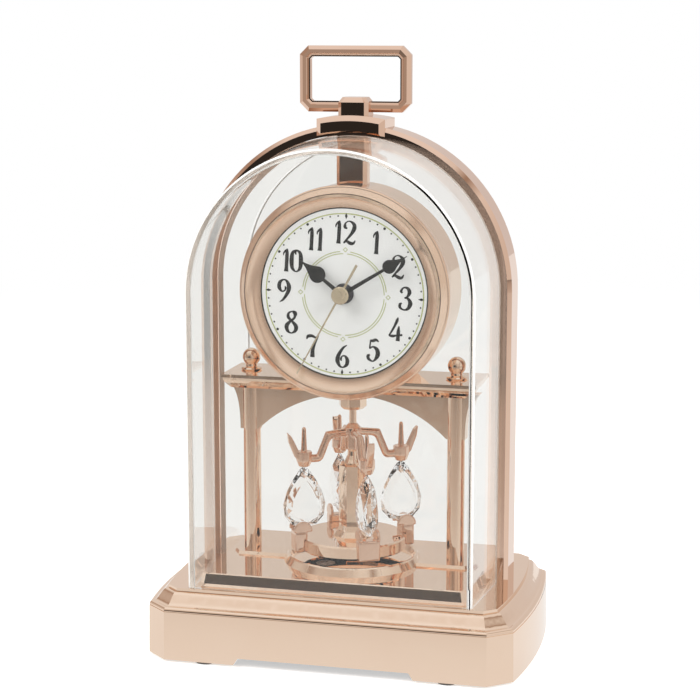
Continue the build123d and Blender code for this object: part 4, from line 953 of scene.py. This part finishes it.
@dataclass
class DialPrint:
    """The dial's print: numerals, minute marks, quarter lozenges, rings and small ornaments, and a painted
    shadow line at the dial's edge.

    Attributes:
        numeral_circle: Radius of the numerals' centres.
        numeral_height: Height of the numerals.
        boldness: Width of the strokes against the digits' drawing.
        brush_steps: Points of a stroke's edge between two of its drawn points.
        mark_circle: Radius of the minute marks.
        mark_radius: Radius of a minute mark.
        five_growth: Size of a five-minute mark against a minute mark.
        lozenge: Half length and half width of a quarter's lozenge.
        ring_circle: Radius of the outer ring.
        ring_width: Line width of the outer ring.
        inner_circles: Radii of the inner double ring.
        inner_gaps: Halves of the inner rings' breaks at each quarter, in degrees.
        inner_width: Line width of the inner rings.
        edge_circle: Radius of the painted shadow line at the dial's edge, a dark ring for the shade under
            the bezel's lip.
        edge_width: Width of that painted shadow line.
        arc_step: Turn from one point of a ring to the next, in degrees.
        ornament_circle: Radius of the quarter ornaments.
        ornament_half: Half of an ornament's size.
        ornament_line: Line width of an ornament.
        turn: Clockwise turn of the whole print, in degrees.
        shift: Shift of the print across and up from the dial's middle.
        print_height: Thickness of the print.
        pairs: Digits of the two-digit hours, with their shifts across in shares of the height.
    """

    numeral_circle: float = 24.8 * MM
    numeral_height: float = 9.15 * MM
    boldness: float = 1.15
    brush_steps: int = 7
    mark_circle: float = 31.3 * MM
    mark_radius: float = 0.34 * MM
    five_growth: float = 1.6
    lozenge: Point = (1.3 * MM, 0.55 * MM)
    ring_circle: float = 32.2 * MM
    ring_width: float = 0.5 * MM
    inner_circles: Point = (17.2 * MM, 16.3 * MM)
    inner_gaps: Point = (7.0, 2.8)
    inner_width: float = 0.36 * MM
    edge_circle: float = 34.05 * MM
    edge_width: float = 0.5 * MM
    arc_step: float = 2.0
    ornament_circle: float = 17.9 * MM
    ornament_half: float = 1.05 * MM
    ornament_line: float = 0.27 * MM
    turn: float = 1.6
    shift: Point = (0.2 * MM, -0.4 * MM)
    print_height: float = 0.04 * MM
    pairs: ClassVar[dict[int, Sequence[tuple[Digit, float]]]] = {
        10: ((Digit.ONE, -0.30), (Digit.ZERO, 0.16)),
        11: ((Digit.ONE, -0.19), (Digit.ONE, 0.20)),
        12: ((Digit.ONE, -0.33), (Digit.TWO, 0.16)),
    }

    def __post_init__(self) -> None:
        """Reads the dial's place from the frame and sets out each hour's digits."""
        low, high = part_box("dial")
        self.y = low.y
        self.centre = (low.z + high.z) / 2
        single = list(Digit)[1:]
        self.numerals = {hour: ((digit, 0.0),) for hour, digit in enumerate(single, 1)} | self.pairs

    def spot(self, across: float, up: float) -> Vector:
        """Gives a point on the print's face, with the print's turn and shift.

        Args:
            across: Distance to the right of the print's centre.
            up: Distance above it.

        Returns:
            The point.
        """
        c, s = math.cos(math.radians(self.turn)), math.sin(math.radians(self.turn))
        x = self.shift[0] + across * c + up * s
        z = self.centre + self.shift[1] + up * c - across * s
        return Vector((x, self.y - self.print_height, z))

    def build(self) -> None:
        """Builds and settles every printed piece."""
        self._numerals()
        self._marks()
        self._lozenges()
        self._rings()
        self._ornaments()

    def _lay(self, name: str, bm: BMesh, finish: Finish) -> None:
        """Gives a flat print its thickness and settles it on the dial.

        Args:
            name: The piece's name.
            bm: Its flat faces.
            finish: Its finish.
        """
        bmesh.ops.recalc_face_normals(bm, faces=bm.faces)
        made = bmesh.ops.extrude_face_region(bm, geom=list(bm.faces))
        moved = [part for part in made["geom"] if isinstance(part, BMVert)]
        bmesh.ops.translate(bm, verts=moved, vec=(0, self.print_height, 0))
        bmesh.ops.recalc_face_normals(bm, faces=bm.faces)
        settle(mesh_piece(name, bm, finish), Body.CASE, "dial_white")

    def _numerals(self) -> None:
        """Prints the twelve numerals, upright round the dial."""
        bm = bmesh.new()
        for hour, digits in self.numerals.items():
            angle = 2 * math.pi * hour / HOURS
            x = self.numeral_circle * math.sin(angle)
            z = self.numeral_circle * math.cos(angle)
            for digit, shift in digits:
                for stroke in digit.value:
                    self._brush(bm, stroke, x + shift * self.numeral_height, z)
        self._lay("dial_numerals", bm, Finishes.dial_black)

    def _brush(self, bm: BMesh, stroke: Sequence[Triple], x: float, z: float) -> None:
        """Prints one brush stroke: a smooth line through the stroke's points with its width.

        Args:
            bm: The bmesh to add to.
            stroke: Across, up and width, in shares of the height.
            x: The digit's place across.
            z: The digit's place up.
        """
        line = self._smooth([Vector(p) for p in stroke])
        left, right = [], []
        for k, point in enumerate(line):
            along = line[min(k + 1, len(line) - 1)] - line[max(k - 1, 0)]
            side = Vector((-along.y, along.x)).normalized() * point.z * self.boldness / 2
            for edge, way in ((left, 1), (right, -1)):
                spot = self.spot(
                    x + (point.x + way * side.x) * self.numeral_height,
                    z + (point.y + way * side.y) * self.numeral_height,
                )
                edge.append(bm.verts.new(spot))
        bridge(bm, left, right)

    def _smooth(self, points: Sequence[Vector]) -> list[Vector]:
        """Draws a curve through points.

        Args:
            points: The points to pass through.

        Returns:
            The curve's points.
        """
        padded = [points[0] * 2 - points[1], *points, points[-1] * 2 - points[-2]]
        line = []
        for a, b, c, d in zip(padded, padded[1:], padded[2:], padded[3:]):
            for k in range(self.brush_steps):
                t = k / self.brush_steps
                bend = (2 * a - 5 * b + 4 * c - d) * t ** 2 + (3 * b - a - 3 * c + d) * t ** 3
                line.append((2 * b + (c - a) * t + bend) / 2)
        return line + [points[-1]]

    def _marks(self) -> None:
        """Prints the round minute marks, with larger ones at the hours and none at the quarters."""
        sizes = {
            "Count": MINUTES, "Circle": self.mark_circle, "Mark radius": self.mark_radius,
            "Hour growth": self.five_growth, "Height": self.print_height,
        }
        piece = MarkRing().grow("dial_minute_marks", sizes, Finishes.dial_black)
        piece.data.transform(Matrix.Rotation(math.radians(self.turn), 4, "Y"))
        piece.data.transform(Matrix.Translation(self.spot(0, 0)))
        settle(piece, Body.CASE, "dial_white")

    def _lozenges(self) -> None:
        """Prints a lozenge at each quarter, pointing to the centre."""
        bm = bmesh.new()
        length, width = self.lozenge
        corners = ((0, length), (width, 0), (0, -length), (-width, 0))
        for turn in QUARTERS:
            self._polygon(bm, [(x, self.mark_circle + z) for x, z in corners], turn)
        self._lay("dial_quarter_lozenges", bm, Finishes.dial_black)

    def _polygon(self, bm: BMesh, points: Iterable[Point], turn: float) -> None:
        """Adds a flat face drawn at twelve and turned clockwise about the dial's centre.

        Args:
            bm: The bmesh to add to.
            points: Across and up, from the dial's centre.
            turn: Clockwise turn, in degrees.
        """
        c, s = math.cos(math.radians(turn)), math.sin(math.radians(turn))
        bm.faces.new([bm.verts.new(self.spot(x * c + z * s, z * c - x * s)) for x, z in points])

    def _arc(self, bm: BMesh, radius: float, width: float, start: float = 0.0, end: float = 360.0) -> None:
        """Adds a flat band along a circle.

        Args:
            bm: The bmesh to add to.
            radius: Radius of its middle line.
            width: Its width.
            start: Clockwise angle where it starts, in degrees.
            end: Clockwise angle where it ends.
        """
        steps = int((end - start) / self.arc_step)
        turns = [math.radians(start + (end - start) * k / steps) for k in range(steps + 1)]
        edges = []
        for r in (radius - width / 2, radius + width / 2):
            edges.append([bm.verts.new(self.spot(r * math.sin(t), r * math.cos(t))) for t in turns])
        bridge(bm, *edges)

    def _rings(self) -> None:
        """Prints the outer ring and the inner double ring broken at the quarters, and adds the painted
        shadow line at the dial's edge.
        """
        bm = bmesh.new()
        self._arc(bm, self.ring_circle, self.ring_width)
        for turn in QUARTERS:
            for circle, gap in zip(self.inner_circles, self.inner_gaps):
                self._arc(bm, circle, self.inner_width, turn + gap, turn + QUARTER - gap)
        self._lay("dial_rings", bm, Finishes.dial_gilt)
        # Dark ring at the dial's edge: painted shadow of the gap under the bezel, centred on the dial rather
        # than on the print.
        edge = bmesh.new()
        self._arc(edge, self.edge_circle, self.edge_width)
        bmesh.ops.translate(edge, verts=edge.verts, vec=(-self.shift[0], 0, -self.shift[1]))
        self._lay("dial_painted_shadow_line", edge, Finishes.dial_black)

    def _ornaments(self) -> None:
        """Prints a small open lozenge at each quarter of the inner ring."""
        bm = bmesh.new()
        half = self.ornament_half
        inner = half - self.ornament_line * math.sqrt(2)
        for turn in QUARTERS:
            for start in QUARTERS:
                a, b = math.radians(start), math.radians(start + QUARTER)
                corners = [(half, a), (half, b), (inner, b), (inner, a)]
                points = [(r * math.sin(t), self.ornament_circle + r * math.cos(t)) for r, t in corners]
                self._polygon(bm, points, turn)
        self._lay("dial_ornaments", bm, Finishes.dial_gilt)


@dataclass
class MarkRing:
    """A Geometry Nodes tree that sets round marks on a circle.

    Attributes:
        sides: Sides of a mark.
        hour_step: Every so many marks is an hour's larger one.
        quarter_step: Every so many marks is left out, at a quarter.
    """

    sides: int = 20
    hour_step: int = 5
    quarter_step: int = 15

    def tree(self) -> NodeTree:
        """Builds the tree.

        Returns:
            The tree, with its sizes as named inputs.
        """
        sizes = dict.fromkeys(("Circle", "Mark radius", "Hour growth", "Height"), Socket.NUMBER)
        inputs = {"Geometry": Socket.SHAPE, "Count": Socket.COUNT, **sizes, "Material": Socket.MATERIAL}
        nodes = Nodes.group("mark_ring", TreeKind.GEOMETRY, inputs, Socket.SHAPE, "Geometry")
        given = nodes.add("NodeGroupInput").outputs
        circle = nodes.add("GeometryNodeMeshCircle", {"Vertices": given["Count"], "Radius": given["Circle"]})
        mark = nodes.add("GeometryNodeMeshCylinder", {
            "Vertices": self.sides, "Radius": given["Mark radius"], "Depth": given["Height"],
        })
        growth = nodes.add("GeometryNodeSwitch", input_type="FLOAT")
        nodes.feed(growth, {
            "Switch": self._every(nodes, self.hour_step), "False": 1.0, "True": given["Hour growth"],
        })
        size = growth.outputs["Output"]
        flat = nodes.add("ShaderNodeCombineXYZ", {"X": size, "Y": size, "Z": 1.0})
        quarter = self._every(nodes, self.quarter_step)
        keep = nodes.add("FunctionNodeBooleanMath", {0: quarter}, operation="NOT")
        ring = nodes.add("GeometryNodeInstanceOnPoints", {
            "Points": circle.outputs["Mesh"], "Instance": mark.outputs["Mesh"],
            "Selection": keep.outputs["Boolean"], "Scale": flat.outputs["Vector"],
        })
        real = nodes.add("GeometryNodeRealizeInstances", {"Geometry": ring.outputs["Instances"]})
        dress = nodes.add("GeometryNodeSetMaterial", {
            "Geometry": real.outputs["Geometry"], "Material": given["Material"],
        })
        nodes.add("NodeGroupOutput", {"Geometry": dress.outputs["Geometry"]})
        return nodes.tree

    @staticmethod
    def _every(nodes: Nodes, step: int) -> NodeSocket:
        """Tells the points whose number is a multiple of a step.

        Args:
            nodes: The tree's nodes.
            step: The step.

        Returns:
            The socket that is true at those points.
        """
        index = nodes.add("GeometryNodeInputIndex").outputs["Index"]
        rest = nodes.compute("MODULO", index, step)
        none = nodes.add("FunctionNodeCompare", {"A": rest, "B": UNDER_ONE}, operation="LESS_THAN")
        return none.outputs["Result"]

    def grow(self, name: str, sizes: Mapping[str, float], finish: Finish) -> Object:
        """Runs the tree and keeps its result as a plain mesh, standing upright.

        Args:
            name: The piece's name.
            sizes: Values of the tree's named inputs.
            finish: The piece's finish.

        Returns:
            The piece, centred on the origin and facing the front.
        """
        seed = link_object(name + "_seed", bpy.data.meshes.new(name + "_seed"))
        grower = seed.modifiers.new("grow", "NODES")
        grower.node_group = self.tree()
        values = {**sizes, "Material": finish.material()}
        for item in grower.node_group.interface.items_tree:
            if item.in_out == "INPUT" and item.name in values:
                grower[item.identifier] = values[item.name]
        mesh = plain_mesh(seed)
        mesh.name = name
        mesh.transform(Matrix.Rotation(math.pi / 2, 4, "X"))
        return link_object(name, mesh)


@dataclass(frozen=True)
class Lamp:
    """One large soft lamp.

    Attributes:
        name: Its name.
        place: Where it hangs.
        size: Side of its square face.
        power: Its power, in watts.
    """

    name: str
    place: Triple
    size: float
    power: float

    def build(self, aim: Triple) -> None:
        """Hangs the lamp, lighting the clock without showing in metal or clear walls.

        Args:
            aim: The point that it faces.
        """
        data = bpy.data.lights.new(self.name, "AREA")
        data.shape = "SQUARE"
        data.size = self.size
        data.energy = self.power
        lamp = link_object(self.name, data)
        lamp.location = self.place
        lamp.visible_glossy = False
        lamp.visible_transmission = False
        lamp.rotation_euler = (Vector(aim) - Vector(self.place)).to_track_quat("-Z", "Y").to_euler()


@dataclass
class Studio:
    """A pale table, soft lamps, a dark far side for the metal to mirror, and the camera.

    Attributes:
        lens: Focal length, in millimetres.
        sensor: Width of the camera's sensor, in millimetres.
        near: Distance from which the camera sees.
        eye: The camera's place.
        pitch: Its turn up from straight down, in degrees.
        azimuth: Its turn about the upright axis, in degrees.
        floor_gap: Gap between the feet and the table.
        table_front: Distance of the table's front edge from the clock's middle.
        table_grey: The table's colour.
        table_roughness: The table's roughness.
        table_glow: Light that the table adds where it is seen.
        table_fade: Distances over which the table fades into the white background.
        far: Distance of the table's other edges.
        soft_light: Strength of the world's light.
        dark_way: Direction of the dark side of the room.
        right_way: Direction of the room's right side.
        room: Tone of the room as metal mirrors it, from the side behind the clock to the dark side.
        sides: Tone that multiplies the room's, from left to right, with a dark screen on each side.
        table: Tone of the table as metal mirrors it, from the clock's middle to its front edge.
        wall_turns: Middle and half width of the span of passes through clear walls that tells a ray
            that turned inside one.
        lamps: The lamps.
        aim: The point that the lamps face.
    """

    lens: float = 99.71
    sensor: float = 36.0
    near: float = 0.01
    eye: Triple = (0.1918, -0.7519, 0.2551)
    pitch: float = 80.19
    azimuth: float = 14.41
    floor_gap: float = 0.2 * MM
    table_front: float = 0.62
    table_grey: Triple = (0.86, 0.86, 0.86)
    table_roughness: float = 0.9
    table_glow: float = 0.5
    table_fade: Point = (0.25, 1.1)
    far: float = 4.0
    soft_light: float = 0.6
    dark_way: Triple = (-0.247, -0.967, -0.056)
    right_way: Triple = (1.0, 0.0, 0.0)
    room: tuple[Stop, ...] = (
        (0.0, (0.74, 0.68, 0.65)), (0.2, (0.84, 0.80, 0.77)), (0.4, (0.95, 0.93, 0.91)),
        (0.65, (1.0, 1.0, 1.0)), (0.8, (0.88, 0.83, 0.79)), (0.9, (0.66, 0.58, 0.52)),
        (0.965, (0.42, 0.35, 0.30)), (0.986, (0.05, 0.046, 0.043)), (1.0, (0.03, 0.029, 0.028)),
    )
    sides: tuple[Stop, ...] = (
        (0.0, (0.80, 0.74, 0.70)), (0.09, (0.45, 0.33, 0.26)), (0.17, (0.96, 0.95, 0.94)),
        (0.3, (1.0, 1.0, 1.0)), (0.72, (1.0, 1.0, 1.0)), (0.78, (0.92, 0.90, 0.88)),
        (0.83, (0.42, 0.31, 0.24)), (0.89, (0.95, 0.93, 0.91)), (1.0, (0.82, 0.77, 0.73)),
    )
    table: tuple[Stop, ...] = (
        (0.0, (0.95, 0.94, 0.93)), (0.15, (0.87, 0.85, 0.83)), (0.45, (0.58, 0.51, 0.46)),
        (0.78, (0.42, 0.36, 0.32)), (1.0, (0.12, 0.11, 0.10)),
    )
    wall_turns: Point = (2.0, 1.5)
    lamps: tuple[Lamp, ...] = (
        Lamp("key", (-0.75, -0.7, 0.95), 0.7, 8.4),
        Lamp("fill", (0.95, -0.45, 0.75), 0.7, 6.8),
        Lamp("top", (0.0, 0.25, 1.2), 0.9, 4.2),
    )
    aim: Triple = (0.0, 0.0, 0.12)

    def build(self) -> None:
        """Sets up the whole studio."""
        bpy.context.scene.view_settings.view_transform = "Standard"
        self._camera()
        self._world()
        self._floor()
        for lamp in self.lamps:
            lamp.build(self.aim)

    def _camera(self) -> None:
        """Sets the camera at the photograph's place."""
        data = bpy.data.cameras.new("camera")
        data.sensor_width = self.sensor
        data.lens = self.lens
        data.clip_start = self.near
        camera = link_object("camera", data)
        camera.location = self.eye
        camera.rotation_euler = (math.radians(self.pitch), 0.0, math.radians(self.azimuth))
        bpy.context.scene.camera = camera

    def _rays(self, nodes: Nodes) -> tuple[NodeSocket, NodeSocket]:
        """Tells how a ray came.

        Args:
            nodes: The nodes to add to.

        Returns:
            A socket that is 1 on camera, glossy and transmission rays, and one that is 1 on rays that
            a metal has mirrored, but not on those that turned inside a clear wall.
        """
        path = nodes.add("ShaderNodeLightPath").outputs
        seen = path["Is Camera Ray"]
        for ray in ("Is Glossy Ray", "Is Transmission Ray"):
            seen = nodes.compute("MAXIMUM", seen, path[ray])
        gloss = nodes.compute("GREATER_THAN", path["Glossy Depth"], UNDER_ONE)
        in_wall = nodes.compute("COMPARE", path["Transmission Depth"], *self.wall_turns)
        return seen, nodes.compute("SUBTRACT", gloss, in_wall, clamp=True)

    def _world(self) -> None:
        """Makes the world white where it is seen, softer where it lights, and toned in mirrors."""
        world = bpy.data.worlds.new("studio")
        bpy.context.scene.world = world
        world.use_nodes = True
        nodes = Nodes(world.node_tree)
        seen, mirrored = self._rays(nodes)
        room = nodes.ramp(self._facing(nodes, self.dark_way), self.room)
        sides = nodes.ramp(self._facing(nodes, self.right_way), self.sides)
        screened = nodes.mix(1.0, room, sides, blend="MULTIPLY")
        nodes.feed(nodes.tree.nodes["Background"], {
            "Color": nodes.mix(mirrored, WHITE, screened),
            "Strength": nodes.spread(seen, (0.0, 1.0), self.soft_light),
        })

    @staticmethod
    def _facing(nodes: Nodes, way: Triple) -> NodeSocket:
        """Tells how much a direction of the room faces a way.

        Args:
            nodes: The world's nodes.
            way: The way, of any length.

        Returns:
            A socket that goes from 0, facing away, to 1.
        """
        place = nodes.add("ShaderNodeTexCoord").outputs["Generated"]
        feeds = {0: place, 1: Vector(way).normalized()}
        facing = nodes.add("ShaderNodeVectorMath", feeds, operation="DOT_PRODUCT")
        return nodes.spread(facing.outputs["Value"], (-1.0, 1.0))

    def _floor(self) -> None:
        """Sets a pale table that ends a little in front of the clock."""
        near, far = -self.table_front, self.far
        corners = [(x, y, -self.floor_gap) for x, y in ((-far, near), (far, near), (far, far), (-far, far))]
        mesh = bpy.data.meshes.new("table")
        mesh.from_pydata(corners, [], [range(len(corners))])
        mesh.materials.append(self._table_white())
        link_object("table", mesh)

    def _table_white(self) -> Material:
        """Builds the table's material, which dims towards the front edge where metal mirrors it.

        Returns:
            The material.
        """
        material = bpy.data.materials.new("table_white")
        material.use_nodes = True
        nodes = Nodes(material.node_tree)
        shader = nodes.tree.nodes["Principled BSDF"]
        seen, mirrored = self._rays(nodes)
        nodes.feed(shader, {
            "Base Color": (*self.table_grey, 1.0),
            "Roughness": self.table_roughness,
            "Specular IOR Level": 0.0,
            "Emission Color": WHITE,
            "Emission Strength": nodes.compute("MULTIPLY", seen, self.table_glow),
        })
        place = nodes.add("ShaderNodeTexCoord").outputs["Object"]
        split = nodes.add("ShaderNodeSeparateXYZ", {"Vector": place})
        ahead = nodes.spread(split.outputs["Y"], (0.0, -self.table_front))
        image = nodes.add("ShaderNodeEmission", {"Color": nodes.ramp(ahead, self.table)})
        white = nodes.add("ShaderNodeEmission", {"Color": WHITE})
        fade = self._fade(nodes, place, seen)
        faded = nodes.mix_shaders(fade, shader.outputs["BSDF"], white.outputs["Emission"])
        whole = nodes.mix_shaders(mirrored, faded, image.outputs["Emission"])
        nodes.feed(nodes.tree.nodes["Material Output"], {"Surface": whole})
        return material

    def _fade(self, nodes: Nodes, place: NodeSocket, seen: NodeSocket) -> NodeSocket:
        """Tells how far the table has faded: by distance, and wholly behind clear walls.

        Args:
            nodes: The table's nodes.
            place: The socket of the place on the table.
            seen: The socket that is 1 on rays that see it.

        Returns:
            The socket of the share that has faded.
        """
        away = nodes.add("ShaderNodeVectorMath", {0: place}, operation="LENGTH").outputs["Value"]
        share = nodes.spread(away, self.table_fade, kind="SMOOTHSTEP")
        path = nodes.add("ShaderNodeLightPath").outputs
        behind = nodes.compute("MAXIMUM", share, path["Is Transmission Ray"])
        return nodes.compute("MULTIPLY", behind, seen)


def main() -> None:
    """Builds the studio, dresses the frame and adds the modelled pieces."""
    logging.basicConfig(level=logging.INFO, format="%(name)s: %(message)s")
    bpy.context.view_layer.update()
    Studio().build()
    Finishes.dress_frame()
    ClearCover("front_cover", Body.CASE).build()
    ClearCover("rear_cover", Body.BACK_COVER).build()
    for number, side in enumerate(("right", "back", "left", "front")):
        Crystal("crystal_" + side, FIRST_ARM + number * QUARTER).build()
    # The cast arms and scroll blocks take the darker rose gold copy: painted shade.
    for node in ("arm_spider", "scroll_blocks"):
        CastPiece(node, Body.PENDULUM, "rose_gold", Finishes.rose_gold_deep).build()
    DialPrint().build()


if __name__ == "__main__":
    main()
